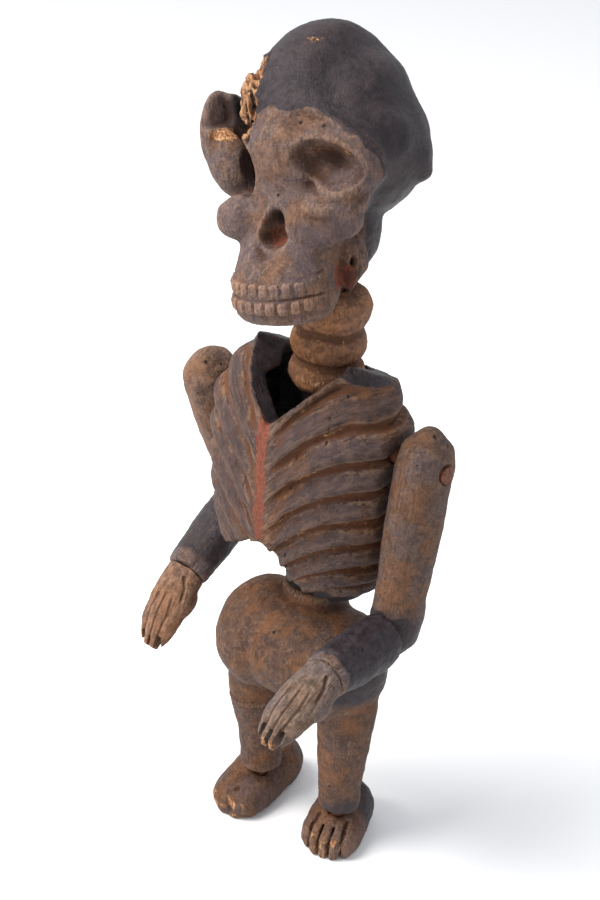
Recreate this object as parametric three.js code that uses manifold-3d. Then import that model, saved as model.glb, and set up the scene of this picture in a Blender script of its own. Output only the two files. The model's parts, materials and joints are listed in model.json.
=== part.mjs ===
// A carved wooden skeleton figure: arms that swing on shoulder pegs and a head that turns in the chest.
// Millimetres, +Z up. The figure faces -Y, and +X is the figure's own left.
import * as THREE from "three";
import { mergeVertices } from "three/addons/utils/BufferGeometryUtils.js";
import Module from "manifold-3d";

const wasm = await Module();
wasm.setup();

// ---- Driving dimensions ------------------------------------------------------------------------

const GAP = 0.35; // between pieces that meet, and all round a glued peg
const TURNING_GAP = 0.4; // round a peg or tenon that a piece turns on
const LEFT = 1;
const RIGHT = -1;

// Feet and legs
const LEFT_FOOT = { x: 25, length: 54, toeOut: 15, toes: 5 };
const RIGHT_FOOT = { x: 33, length: 68, toeOut: -3, toes: 2 }; // worn smooth, with its toes lost
const FOOT_WIDTH = 35;
const FOOT_Y = 11; // middle of each foot's length
const FOOT_HEIGHT = 29;
const ANKLE_SEAM = 26; // height of the joint between foot and leg
const ANKLE_RADIUS = 12;
const ANKLE = { x: 28, y: 3 };
const CALF = { x: 31, y: -2, z: 72, radius: 14.8 };
const THIGH = { x: 30, y: -4, z: 108, radius: 17.5 };
const ANKLE_PEG = { radius: 4, length: 24 };

// Hips and waist
const HIPS = { y: -6, z: 127, halfWidth: 51, halfDepth: 32, halfHeight: 33 };
const WAIST_RADIUS = 18;
const WAIST_SEAM = 163; // where the hips end and the chest piece begins
const WAIST_PEG = { radius: 6, length: 36 };
const BACKBONE = { y: 3, radius: 17 }; // the column that runs from the waist to the neck

// Chest: level, half width, half depth and middle of each section, from the waist up
const CHEST_SECTIONS = [
  { z: 158, halfWidth: 21, halfDepth: 18, y: 4 },
  { z: 170, halfWidth: 33, halfDepth: 27, y: -1 },
  { z: 188, halfWidth: 49, halfDepth: 37, y: -8 },
  { z: 215, halfWidth: 55, halfDepth: 41, y: -11 },
  { z: 250, halfWidth: 58, halfDepth: 42, y: -12 },
  { z: 276, halfWidth: 55, halfDepth: 39, y: -14 },
  { z: 294, halfWidth: 44, halfDepth: 34, y: -14 },
  { z: 308, halfWidth: 33, halfDepth: 28, y: -13 },
  { z: 320, halfWidth: 25, halfDepth: 23, y: -12 },
];
const COLLAR = { front: 313, frontY: -34, back: 286, backY: 22 }; // the top is cut on this slope
const CHEST_WALL = 9;
const CAVITY = { floor: 178, ceiling: 292 };
const SHOULDER_FLAT = 52; // flat side that the arm swings beside, from the middle plane
// Ribs rise from the breastbone and run level round the sides. They stand wider apart towards the collar:
// crest n is n * (pitch + growth * n) above the lowest, and the waist and collar cut some of them away.
const RIBS = { count: 12, lowest: 147.5, pitch: 10.2, growth: 0.42, rise: 35, sweep: 1.45, depth: 3.2 };
const THROAT = { notch: 275, halfWidth: 27, top: 306 }; // the V at the front of the collar
// The opening below the breastbone. The ribs of the right side stop short at rightEnd, and those of
// the left side run on down to the waist.
const ARCH = { x: 0, top: 209, shoulder: 190, halfWidth: 16, foot: 25, rightEnd: 181 };

// Shoulders and arms. Each arm is made hanging straight down from its shoulder peg.
const SHOULDER = { x: 67.5, y: -12, z: 264 };
const SHOULDER_PEG = { radius: 4.5, depthInChest: 17 };
const SHOULDER_BOSS_RADIUS = 13; // solid wood left inside the chest to hold the peg
const ARM_INNER_GAP = 1.5; // between the chest's flat side and the arm's flat inner face
const UPPER_ARM = { length: 90, crown: 21, heel: 15, halfWidth: 14.3, halfDepth: 16.5 };
const FOREARM = { length: 60, bend: 84, start: 12 };
const HAND = { length: 45, bend: 68, halfWidth: 13, halfThickness: 8, thumb: 14 };
const FINGERS = 4;
const FINGER_GROOVE = { width: 1.6, depth: 5, length: 30 };
const LEFT_SWING = 7; // degrees forward of straight down
const RIGHT_SWING = -25;
const ELBOW_PEG = { radius: 3.5, length: 24 };
const WRIST_PEG = { radius: 3, length: 20 };

// Neck and skull. The skull is made upright and then leans about the top of the neck.
const NECK_FOOT = 283;
const NECK_Y = -5;
const NECK_RINGS = [{ height: 15, radius: 19.5 }, { height: 17, radius: 19.2 }, { height: 20, radius: 20 }];
const NECK_GROOVE = 3.5;
const NECK_TENON = { radius: 6.5, length: 20 };
const WIDEST_NECK_RING = Math.max(...NECK_RINGS.map((ring) => ring.radius));
const COLLAR_CLEARANCE = 3; // round the lowest ring of the neck
const LEAN = { degrees: -13, z: 330 };
const SKULL_SEAT = NECK_RINGS.reduce((top, ring) => top + ring.height, NECK_FOOT);
const SKULL_PEG = { radius: 5, length: 30 };
const CRANIUM = { y: 10, z: 412, halfWidth: 38, halfDepth: 46, halfHeight: 50 };
const TEMPLES = { y: 13, z: 401, halfWidth: 44, halfDepth: 47, halfHeight: 38 };
const BROW = { y: -5, z: 408, halfWidth: 52, halfDepth: 37, halfHeight: 21 };
const BROKEN_RIM = { x: -42, y: -17, z: 409, halfWidth: 8, halfDepth: 19, halfHeight: 23 };
const CHEEK = { x: 23, y: -36, z: 378, radius: 13.5 };
const FACE_SECTIONS = [
  { z: 331, halfWidth: 23, halfDepth: 19, y: -42 },
  { z: 340, halfWidth: 27, halfDepth: 25, y: -40 },
  { z: 352, halfWidth: 26, halfDepth: 27, y: -37 },
  { z: 362, halfWidth: 26, halfDepth: 27, y: -30 },
  { z: 374, halfWidth: 30, halfDepth: 29, y: -20 },
  { z: 388, halfWidth: 38, halfDepth: 32, y: -12 },
  { z: 404, halfWidth: 46, halfDepth: 34, y: -5 },
];
const OCCIPUT = { y: 1, z: 374, halfWidth: 25, halfDepth: 26, halfHeight: 45 };
const ORBIT = { x: 29, y: -32, z: 398, halfWidth: 15, halfDepth: 24, halfHeight: 12, slant: 14 };
const NOSE = { y: -50, z: 372, halfWidth: 6.5, halfHeight: 12, depth: 14 };
const TEETH = { gumLine: 359, biteLine: 350, lipLine: 340, count: 7, groove: 1.6, depth: 2.2 };
const JAW_HOLLOW = { x: 32, y: -22, z: 357, halfWidth: 9, halfDepth: 13, halfHeight: 13 };
const ROT = { x: -29, y: -28, z: 414, halfWidth: 12, halfDepth: 26, halfHeight: 25 };

// ---- Solids from three.js geometry -------------------------------------------------------------

function solid(geometry, matrix = new THREE.Matrix4()) {
  const bare = geometry.clone().applyMatrix4(matrix);
  bare.deleteAttribute("normal");
  bare.deleteAttribute("uv");
  const merged = mergeVertices(bare, 1e-4);
  return new wasm.Manifold(new wasm.Mesh({
    numProp: 3,
    vertProperties: new Float32Array(merged.attributes.position.array),
    triVerts: new Uint32Array(merged.index.array),
  }));
}

function geometryOf(manifold) {
  const mesh = manifold.getMesh();
  const geometry = new THREE.BufferGeometry();
  geometry.setAttribute("position", new THREE.BufferAttribute(new Float32Array(mesh.vertProperties), 3));
  geometry.setIndex(new THREE.BufferAttribute(new Uint32Array(mesh.triVerts), 1));
  geometry.computeVertexNormals();
  return geometry;
}

const moved = (x, y, z) => new THREE.Matrix4().makeTranslation(x, y, z);

function box(low, high) {
  const size = new THREE.Vector3().subVectors(high, low);
  const middle = new THREE.Vector3().addVectors(low, high).multiplyScalar(0.5);
  return solid(new THREE.BoxGeometry(size.x, size.y, size.z), moved(middle.x, middle.y, middle.z));
}

function ellipsoid(at, halfX, halfY, halfZ, around = 24, up = 14) {
  const upright = new THREE.Matrix4().makeRotationX(Math.PI / 2);
  const scaled = new THREE.Matrix4().makeScale(halfX, halfY, halfZ).multiply(upright);
  return solid(new THREE.SphereGeometry(1, around, up), scaled.premultiply(moved(at.x, at.y, at.z)));
}

// A round bar from one point to another.
function bar(from, to, radius, sides = 20) {
  const along = new THREE.Vector3().subVectors(to, from);
  const turn = new THREE.Quaternion().setFromUnitVectors(new THREE.Vector3(0, 1, 0), along.clone().normalize());
  const middle = new THREE.Vector3().addVectors(from, to).multiplyScalar(0.5);
  const place = new THREE.Matrix4().compose(middle, turn, new THREE.Vector3(1, 1, 1));
  return solid(new THREE.CylinderGeometry(radius, radius, along.length(), sides), place);
}

// A closed skin: place(t, angle, reach) gives each point of a ring, with t from 0 at the bottom ring to
// 1 at the top one, and reach 0 at the middle of the two end caps.
function skin(sides, rings, place) {
  const geometry = new THREE.CylinderGeometry(1, 1, 1, sides, rings, false);
  const position = geometry.attributes.position;
  for (let i = 0; i < position.count; i += 1) {
    const x = position.getX(i);
    const z = position.getZ(i);
    const reach = Math.hypot(x, z) > 0.5 ? 1 : 0;
    const point = place(position.getY(i) + 0.5, Math.atan2(-z, x), reach);
    position.setXYZ(i, point.x, point.y, point.z);
  }
  return solid(geometry);
}

// The smooth value at key between sections that give it at rising levels.
function between(sections, level, value, key = "z") {
  const points = sections.map((section) => new THREE.Vector2(section[key], section[value]));
  if (level <= points[0].x) return points[0].y;
  if (level >= points[points.length - 1].x) return points[points.length - 1].y;
  const above = points.findIndex((point) => point.x > level);
  const [a, b] = [points[above - 1], points[above]];
  const before = points[Math.max(above - 2, 0)];
  const after = points[Math.min(above + 1, points.length - 1)];
  const t = (level - a.x) / (b.x - a.x);
  const slopeA = ((b.y - before.y) / (b.x - before.x)) * (b.x - a.x);
  const slopeB = ((after.y - a.y) / (after.x - a.x)) * (b.x - a.x);
  return THREE.MathUtils.clamp(hermite(a.y, b.y, slopeA, slopeB, t), Math.min(a.y, b.y), Math.max(a.y, b.y));
}

function hermite(a, b, slopeA, slopeB, t) {
  const t2 = t * t;
  const t3 = t2 * t;
  return a * (2 * t3 - 3 * t2 + 1) + slopeA * (t3 - 2 * t2 + t) + b * (3 * t2 - 2 * t3) + slopeB * (t3 - t2);
}

// A limb along a straight path: sections hold the distance s along it and the two half widths there.
function limb(start, direction, sections, sides = 14) {
  const across = new THREE.Vector3(1, 0, 0);
  const normal = new THREE.Vector3().crossVectors(direction, across);
  const length = sections[sections.length - 1].s - sections[0].s;
  const rings = sections.length + 3;
  return skin(sides, rings, (t, angle, reach) => {
    const s = sections[0].s + t * length;
    const halfWidth = between(sections, s, "halfWidth", "s") * reach;
    const halfDepth = between(sections, s, "halfDepth", "s") * reach;
    const drop = between(sections, s, "drop", "s");
    return start.clone()
      .addScaledVector(direction, s)
      .addScaledVector(across, halfWidth * Math.cos(angle))
      .addScaledVector(normal, halfDepth * Math.sin(angle) + drop);
  });
}

// ---- Feet --------------------------------------------------------------------------------------

function foot(spec, side) {
  const halfLength = spec.length / 2;
  const sections = [
    { z: -1, halfWidth: 0.34, height: 0.5 },
    { z: -0.8, halfWidth: 0.86, height: 0.62 },
    { z: -0.3, halfWidth: 1, height: 0.8 },
    { z: 0.2, halfWidth: 0.93, height: 1 },
    { z: 0.7, halfWidth: 0.8, height: 0.92 },
    { z: 1, halfWidth: 0.3, height: 0.5 },
  ];
  const sole = 0.36; // share of the section's height that the flat sole cuts off
  let shape = skin(20, 9, (t, angle, reach) => {
    const along = 2 * t - 1;
    const halfWidth = between(sections, along, "halfWidth") * FOOT_WIDTH / 2;
    const half = between(sections, along, "height") * FOOT_HEIGHT / (2 - sole);
    return new THREE.Vector3(
      -halfWidth * Math.cos(angle) * reach,
      along * halfLength,
      half * (1 - sole) + half * Math.sin(angle) * reach,
    );
  });
  shape = shape.subtract(toeGrooves(spec, halfLength));
  const turned = new THREE.Matrix4().makeRotationZ(THREE.MathUtils.degToRad(side * spec.toeOut));
  const placed = turned.premultiply(moved(side * spec.x, FOOT_Y, 0));
  const floor = box(new THREE.Vector3(-99, -99, -60), new THREE.Vector3(99, 99, 0));
  return solid(geometryOf(shape), placed).subtract(floor);
}

function toeGrooves(spec, halfLength) {
  const cuts = [];
  for (let i = 1; i < spec.toes; i += 1) {
    const x = (i / spec.toes - 0.5) * FOOT_WIDTH * 0.9;
    const low = new THREE.Vector3(x - 0.9, -halfLength - 5, -1);
    cuts.push(box(low, new THREE.Vector3(x + 0.9, -halfLength + 9, FOOT_HEIGHT)));
  }
  return wasm.Manifold.union(cuts);
}

function ankle(side) {
  return new THREE.Vector3(side * ANKLE.x, ANKLE.y, ANKLE_SEAM);
}

function footPiece(spec, side) {
  const at = ankle(side);
  const above = box(new THREE.Vector3(-99, -99, ANKLE_SEAM), new THREE.Vector3(99, 99, 99));
  return foot(spec, side).subtract(above).subtract(upright(at, ANKLE_PEG, GAP));
}

// A peg that stands half in the piece below and half in the piece above.
function upright(at, peg, clearance = 0) {
  const half = peg.length / 2 + clearance;
  const low = new THREE.Vector3(at.x, at.y, at.z - half);
  return bar(low, new THREE.Vector3(at.x, at.y, at.z + half), peg.radius + clearance);
}

// ---- Hips and legs, carved from one block ------------------------------------------------------

function leg(side) {
  const foot = ankle(side);
  const sections = [
    { z: ANKLE_SEAM + GAP, x: foot.x, y: foot.y, radius: ANKLE_RADIUS },
    { z: ANKLE_SEAM + 14, x: foot.x, y: foot.y - 1, radius: ANKLE_RADIUS },
    { z: CALF.z, x: side * CALF.x, y: CALF.y, radius: CALF.radius },
    { z: THIGH.z, x: side * THIGH.x, y: THIGH.y, radius: THIGH.radius },
    { z: HIPS.z, x: side * THIGH.x * 0.85, y: THIGH.y, radius: THIGH.radius },
  ];
  const bottom = sections[0].z;
  const height = HIPS.z - bottom;
  return skin(16, 8, (t, angle, reach) => {
    const z = bottom + t * height;
    const radius = between(sections, z, "radius") * reach;
    const x = between(sections, z, "x");
    return new THREE.Vector3(x + radius * Math.cos(angle), between(sections, z, "y") + radius * Math.sin(angle), z);
  });
}

function hips() {
  const middle = new THREE.Vector3(0, HIPS.y, HIPS.z);
  const lobe = (side) => ellipsoid(
    new THREE.Vector3(side * HIPS.halfWidth * 0.44, HIPS.y, HIPS.z - 3),
    HIPS.halfWidth * 0.56, HIPS.halfDepth * 0.96, HIPS.halfHeight * 0.96, 20, 12,
  );
  const belly = ellipsoid(middle, HIPS.halfWidth * 0.9, HIPS.halfDepth, HIPS.halfHeight * 0.92);
  const waistFoot = new THREE.Vector3(0, BACKBONE.y, HIPS.z);
  const waistTop = new THREE.Vector3(0, BACKBONE.y, WAIST_SEAM - GAP / 2);
  return belly.add(lobe(LEFT)).add(lobe(RIGHT)).add(bar(waistFoot, waistTop, WAIST_RADIUS, 24));
}

function hipsAndLegs() {
  return hips()
    .add(leg(LEFT))
    .add(leg(RIGHT))
    .subtract(upright(ankle(LEFT), ANKLE_PEG, GAP))
    .subtract(upright(ankle(RIGHT), ANKLE_PEG, GAP))
    .subtract(upright(new THREE.Vector3(0, BACKBONE.y, WAIST_SEAM), WAIST_PEG, GAP));
}

// ---- Chest -------------------------------------------------------------------------------------

// The chest's point at a height and an angle from the breastbone, drawn in by inset.
function chestPoint(z, angle, inset) {
  const halfWidth = between(CHEST_SECTIONS, z, "halfWidth") - inset;
  const halfDepth = between(CHEST_SECTIONS, z, "halfDepth") - inset;
  const y = between(CHEST_SECTIONS, z, "y");
  return new THREE.Vector3(halfWidth * Math.sin(angle), y - halfDepth * Math.cos(angle), z);
}

// Rows follow the slant of the ribs, so a crest and a groove need one ring of points each.
function ribbedBody() {
  const rows = RIBS.count * 2;
  return skin(34, rows, (t, angle, reach) => {
    const row = Math.round(t * rows);
    const fromFront = Math.abs(angle);
    const slope = RIBS.rise * (Math.sin(Math.min(fromFront * RIBS.sweep, Math.PI / 2)) - 1);
    const z = RIBS.lowest + (row / 2) * (RIBS.pitch + (RIBS.growth * row) / 2) + slope;
    const carved = THREE.MathUtils.smoothstep(fromFront, 0.05, 0.35);
    const inset = row % 2 === 0 ? 0 : RIBS.depth * carved;
    const point = chestPoint(z, angle, inset);
    return reach ? point : new THREE.Vector3(0, BACKBONE.y, z);
  });
}

function cavity() {
  const height = CAVITY.ceiling - CAVITY.floor;
  const hollow = skin(22, 6, (t, angle, reach) => {
    const z = CAVITY.floor + t * height;
    const point = chestPoint(z, angle, CHEST_WALL + RIBS.depth);
    return reach ? point : new THREE.Vector3(0, 0, z);
  });
  const backbone = bar(
    new THREE.Vector3(0, BACKBONE.y, CAVITY.floor - 1),
    new THREE.Vector3(0, BACKBONE.y, CAVITY.ceiling + 1),
    BACKBONE.radius, 24,
  );
  const back = box(
    new THREE.Vector3(-BACKBONE.radius * 0.6, BACKBONE.y, CAVITY.floor - 1),
    new THREE.Vector3(BACKBONE.radius * 0.6, 99, CAVITY.ceiling + 1),
  );
  return hollow.subtract(backbone).subtract(back).subtract(boss(LEFT)).subtract(boss(RIGHT));
}

function boss(side) {
  const start = new THREE.Vector3(side * (SHOULDER_FLAT - SHOULDER_PEG.depthInChest - 4), SHOULDER.y, SHOULDER.z);
  return bar(start, new THREE.Vector3(side * 99, SHOULDER.y, SHOULDER.z), SHOULDER_BOSS_RADIUS);
}

function plate(outline, from, to) {
  const shape = new THREE.Shape(outline.map(([x, z]) => new THREE.Vector2(x, z)));
  const geometry = new THREE.ExtrudeGeometry(shape, { depth: to - from, bevelEnabled: false });
  const stand = new THREE.Matrix4().makeRotationX(Math.PI / 2);
  return solid(geometry, stand.premultiply(moved(0, to, 0)));
}

function throatCut() {
  const { notch, halfWidth, top } = THROAT;
  const outline = [[0, notch], [halfWidth * 0.45, notch + 13], [halfWidth, top], [halfWidth, 340],
    [-halfWidth, 340], [-halfWidth, top], [-halfWidth * 0.45, notch + 13]];
  return plate(outline, -99, NECK_Y);
}

function archCut() {
  const { x, top, shoulder, halfWidth, foot, rightEnd } = ARCH;
  const below = 130;
  const outline = [[x, top], [x - halfWidth * 0.7, top - 4], [x - halfWidth * 2, shoulder],
    [x - halfWidth * 3.2, rightEnd], [-99, rightEnd], [-99, below], [foot, below], [foot, WAIST_SEAM],
    [x + halfWidth, shoulder - 8], [x + halfWidth * 0.6, top - 6]];
  const backbone = bar(
    new THREE.Vector3(0, BACKBONE.y, below - 5),
    new THREE.Vector3(0, BACKBONE.y, top + 5),
    BACKBONE.radius, 24,
  );
  return plate(outline, -99, 99).subtract(backbone);
}

// Everything above the collar's slope.
function aboveCollar() {
  const { front, frontY, back, backY } = COLLAR;
  const normal = new THREE.Vector3(0, front - back, backY - frontY).normalize();
  return beyond(new THREE.Vector3(0, frontY, front), normal);
}

function ribcage() {
  const keep = box(
    new THREE.Vector3(-SHOULDER_FLAT, -99, WAIST_SEAM + GAP / 2),
    new THREE.Vector3(SHOULDER_FLAT, 99, COLLAR.front),
  );
  const neckSeat = bar(
    new THREE.Vector3(0, NECK_Y, NECK_FOOT - GAP),
    new THREE.Vector3(0, NECK_Y, COLLAR.front + 20),
    WIDEST_NECK_RING + COLLAR_CLEARANCE, 24,
  );
  return ribbedBody()
    .intersect(keep)
    .subtract(aboveCollar())
    .subtract(cavity())
    .subtract(throatCut())
    .subtract(archCut())
    .subtract(neckSeat)
    .subtract(neckTenon(TURNING_GAP))
    .subtract(shoulderPeg(LEFT, GAP))
    .subtract(shoulderPeg(RIGHT, GAP))
    .subtract(upright(new THREE.Vector3(0, BACKBONE.y, WAIST_SEAM), WAIST_PEG, GAP));
}

// ---- Arms --------------------------------------------------------------------------------------

function shoulderPeg(side, clearance = 0) {
  const inner = SHOULDER_FLAT - SHOULDER_PEG.depthInChest - clearance;
  const outer = SHOULDER.x + UPPER_ARM.halfWidth - 0.6;
  return bar(
    new THREE.Vector3(side * inner, SHOULDER.y, SHOULDER.z),
    new THREE.Vector3(side * outer, SHOULDER.y, SHOULDER.z),
    SHOULDER_PEG.radius + clearance, 24,
  );
}

// Directions in an arm's own frame: degrees forward of straight down.
function pointing(degrees) {
  const angle = THREE.MathUtils.degToRad(degrees);
  return new THREE.Vector3(0, -Math.sin(angle), -Math.cos(angle));
}

const ELBOW = pointing(0).multiplyScalar(UPPER_ARM.length);
const WRIST = pointing(FOREARM.bend).multiplyScalar(FOREARM.length).add(ELBOW);

// All the space beyond a plane through a point, square to a direction.
function beyond(point, direction) {
  const turn = new THREE.Quaternion().setFromUnitVectors(new THREE.Vector3(0, 0, 1), direction);
  const middle = point.clone().addScaledVector(direction, 150);
  const place = new THREE.Matrix4().compose(middle, turn, new THREE.Vector3(1, 1, 1));
  return solid(new THREE.BoxGeometry(300, 300, 300), place);
}

function along(point, direction, distance) {
  return point.clone().addScaledVector(direction, distance);
}

function upperArm(side) {
  const { crown, heel, length, halfWidth, halfDepth } = UPPER_ARM;
  const shape = limb(new THREE.Vector3(), pointing(0), [
    { s: -crown, halfWidth: 3, halfDepth: 3, drop: 0 },
    { s: -crown + 3, halfWidth: halfWidth * 0.55, halfDepth: halfDepth * 0.6, drop: 0 },
    { s: -crown + 10, halfWidth: halfWidth * 0.86, halfDepth: halfDepth * 0.9, drop: 0 },
    { s: 0, halfWidth, halfDepth, drop: 0 },
    { s: 30, halfWidth, halfDepth: halfDepth * 0.96, drop: 0 },
    { s: 60, halfWidth: halfWidth * 0.93, halfDepth: halfDepth * 0.87, drop: 0 },
    { s: length, halfWidth: halfWidth * 0.9, halfDepth: halfDepth * 0.9, drop: 0 },
    { s: length + heel - 4, halfWidth: halfWidth * 0.66, halfDepth: halfDepth * 0.65, drop: 0 },
    { s: length + heel, halfWidth: 4, halfDepth: 4, drop: 0 },
  ]);
  const forearmWay = pointing(FOREARM.bend);
  const peg = jointPeg(ELBOW, forearmWay, FOREARM.start, ELBOW_PEG, GAP);
  return armShape(side, shape)
    .subtract(beyond(along(ELBOW, forearmWay, FOREARM.start), forearmWay))
    .subtract(peg)
    .subtract(bar(new THREE.Vector3(-40, 0, 0), new THREE.Vector3(40, 0, 0), SHOULDER_PEG.radius + TURNING_GAP, 24));
}

// The inner face of an arm is flat where it swings beside the chest.
function armShape(side, shape) {
  const inner = side * (SHOULDER_FLAT + ARM_INNER_GAP - SHOULDER.x);
  return shape.subtract(beyond(new THREE.Vector3(inner, 0, 0), new THREE.Vector3(-side, 0, 0)));
}

function forearm(side) {
  const way = pointing(FOREARM.bend);
  const { start, length } = FOREARM;
  const shape = limb(ELBOW, way, [
    { s: start + GAP, halfWidth: 14, halfDepth: 15, drop: 0 },
    { s: start + 14, halfWidth: 14, halfDepth: 14.5, drop: 0 },
    { s: length - 12, halfWidth: 13, halfDepth: 12.5, drop: 0 },
    { s: length, halfWidth: 12.5, halfDepth: 11, drop: 0 },
  ]);
  return armShape(side, shape)
    .subtract(jointPeg(ELBOW, way, FOREARM.start, ELBOW_PEG, GAP))
    .subtract(jointPeg(ELBOW, way, FOREARM.length, WRIST_PEG, GAP));
}

function hand() {
  const way = pointing(HAND.bend);
  const { halfWidth, halfThickness, length } = HAND;
  const shape = limb(WRIST, way, [
    { s: -6, halfWidth: 11, halfDepth: 9.5, drop: 0 },
    { s: 10, halfWidth: 12.5, halfDepth: halfThickness + 1, drop: 0 },
    { s: length * 0.45, halfWidth, halfDepth: halfThickness, drop: 0 },
    { s: length * 0.8, halfWidth: halfWidth * 0.8, halfDepth: halfThickness * 0.8, drop: -2 },
    { s: length, halfWidth: halfWidth * 0.45, halfDepth: halfThickness * 0.4, drop: -4 },
  ]);
  const forearmWay = pointing(FOREARM.bend);
  const seam = along(WRIST, forearmWay, GAP);
  return shape
    .add(thumb(way))
    .subtract(fingerGrooves(way))
    .subtract(beyond(seam, forearmWay.clone().negate()))
    .subtract(jointPeg(ELBOW, forearmWay, FOREARM.length, WRIST_PEG, GAP));
}

// Both hands have the thumb on the figure's left.
function thumb(way) {
  const root = along(WRIST, way, HAND.length * 0.2);
  root.x = HAND.halfWidth * 0.7;
  root.z -= 2;
  const tip = along(root, way, HAND.thumb);
  return ellipsoid(root.clone().lerp(tip, 0.5), 4.6, HAND.thumb * 0.72, 6, 16, 10);
}

function fingerGrooves(way) {
  const over = new THREE.Vector3().crossVectors(way, new THREE.Vector3(1, 0, 0));
  const cuts = [];
  for (let i = 1; i < FINGERS; i += 1) {
    const spread = (i / FINGERS - 0.5) * 2;
    const middle = along(WRIST, way, HAND.length - FINGER_GROOVE.length / 2 + 3);
    middle.x = spread * HAND.halfWidth * 0.85;
    middle.addScaledVector(over, -HAND.halfThickness * 0.55);
    const basis = new THREE.Matrix4().makeBasis(new THREE.Vector3(1, 0, 0), way, over.clone().negate());
    const place = basis.setPosition(middle);
    const cut = new THREE.BoxGeometry(FINGER_GROOVE.width, FINGER_GROOVE.length, HAND.halfThickness + 4);
    cuts.push(solid(cut, place));
  }
  return wasm.Manifold.union(cuts);
}

// A dowel along a limb, half each side of the seam at a distance from the joint's middle.
function jointPeg(from, way, seam, peg, clearance = 0) {
  const half = peg.length / 2 + clearance;
  return bar(along(from, way, seam - half), along(from, way, seam + half), peg.radius + clearance, 16);
}

// ---- Neck and skull ----------------------------------------------------------------------------

function neckTenon(clearance = 0) {
  const low = new THREE.Vector3(0, NECK_Y, NECK_FOOT - NECK_TENON.length - clearance);
  return bar(low, new THREE.Vector3(0, NECK_Y, NECK_FOOT + 1), NECK_TENON.radius + clearance, 24);
}

function neck() {
  const steps = 5;
  const top = SKULL_SEAT - GAP;
  const rings = NECK_RINGS.length * steps;
  const column = skin(22, rings, (t, angle, reach) => {
    const step = t * rings;
    const index = Math.min(Math.floor(step / steps + 1e-6), NECK_RINGS.length - 1);
    const share = step / steps - index;
    const { height, radius } = NECK_RINGS[index];
    const foot = NECK_RINGS.slice(0, index).reduce((sum, ring) => sum + ring.height, NECK_FOOT);
    const bulge = Math.sqrt(Math.max(Math.sin(Math.PI * share), 0));
    const r = (radius - NECK_GROOVE * (1 - bulge)) * reach;
    return new THREE.Vector3(r * Math.cos(angle), NECK_Y + r * Math.sin(angle), Math.min(foot + share * height, top));
  });
  return column.add(neckTenon()).subtract(upright(new THREE.Vector3(0, NECK_Y, SKULL_SEAT), SKULL_PEG, GAP));
}

function face() {
  const bottom = FACE_SECTIONS[0].z;
  const height = FACE_SECTIONS[FACE_SECTIONS.length - 1].z - bottom;
  return skin(20, 9, (t, angle, reach) => {
    const z = bottom + t * height;
    const halfWidth = between(FACE_SECTIONS, z, "halfWidth") * reach;
    const halfDepth = between(FACE_SECTIONS, z, "halfDepth") * reach;
    const y = between(FACE_SECTIONS, z, "y");
    return new THREE.Vector3(halfWidth * Math.cos(angle), y + halfDepth * Math.sin(angle), z);
  });
}

function lump(spec, side = 0, around = 22, up = 12) {
  const at = new THREE.Vector3(side * (spec.x ?? 0), spec.y, spec.z);
  const half = spec.radius ?? 0;
  return ellipsoid(at, spec.halfWidth ?? half, spec.halfDepth ?? half, spec.halfHeight ?? half, around, up);
}

function orbit(side) {
  const round = lump({ ...ORBIT, x: 0, y: 0, z: 0 }, 0, 16, 10);
  const slant = new THREE.Matrix4().makeRotationY(THREE.MathUtils.degToRad(side * ORBIT.slant));
  return solid(geometryOf(round), slant.premultiply(moved(side * ORBIT.x, ORBIT.y, ORBIT.z)));
}

function noseCut() {
  const { z, halfWidth, halfHeight, y, depth } = NOSE;
  const outline = [[0, z + halfHeight], [-halfWidth * 0.6, z + 2], [-halfWidth, z - halfHeight * 0.6],
    [-halfWidth * 0.4, z - halfHeight], [halfWidth * 0.4, z - halfHeight], [halfWidth, z - halfHeight * 0.6],
    [halfWidth * 0.6, z + 2]];
  return plate(outline, y - 20, y + depth);
}

// Grooves between the teeth, spread round the front of the jaws.
function toothGrooves() {
  const cuts = [];
  const height = TEETH.gumLine - TEETH.lipLine;
  const { halfWidth, halfDepth, y } = FACE_SECTIONS[2];
  for (let i = 0; i <= TEETH.count; i += 1) {
    const angle = (i / TEETH.count - 0.5) * 2.2;
    const at = moved(halfWidth * Math.sin(angle), y - halfDepth * Math.cos(angle), TEETH.biteLine - 0.5);
    const turn = new THREE.Matrix4().makeRotationZ(angle);
    cuts.push(solid(new THREE.BoxGeometry(TEETH.groove, TEETH.depth * 2, height), at.multiply(turn)));
  }
  return wasm.Manifold.union(cuts);
}

function biteLine() {
  const { halfWidth, halfDepth, y } = FACE_SECTIONS[2];
  const slot = (reach) => skin(24, 1, (t, angle, inside) => new THREE.Vector3(
    (halfWidth + reach) * Math.cos(angle) * inside,
    y + (halfDepth + reach) * Math.sin(angle) * inside,
    TEETH.biteLine + (t - 0.5) * (reach > 0 ? TEETH.groove : TEETH.groove * 2),
  ));
  return slot(3).subtract(slot(-TEETH.depth));
}

function skull() {
  const rim = BROKEN_RIM;
  const whole = lump(CRANIUM, 0, 22, 14)
    .add(lump(TEMPLES, 0, 20, 12))
    .add(lump(BROW, 0, 20, 10))
    .add(ellipsoid(rim, rim.halfWidth, rim.halfDepth, rim.halfHeight, 12, 8))
    .add(lump(OCCIPUT, 0, 16, 10))
    .add(face())
    .add(lump(CHEEK, LEFT, 14, 8))
    .add(lump(CHEEK, RIGHT, 14, 8));
  return whole
    .subtract(orbit(LEFT))
    .subtract(orbit(RIGHT))
    .subtract(lump({ ...ROT, x: -ROT.x }, RIGHT, 14, 10))
    .subtract(noseCut())
    .subtract(lump(JAW_HOLLOW, LEFT, 12, 8))
    .subtract(lump(JAW_HOLLOW, RIGHT, 12, 8))
    .subtract(toothGrooves())
    .subtract(biteLine());
}

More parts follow.
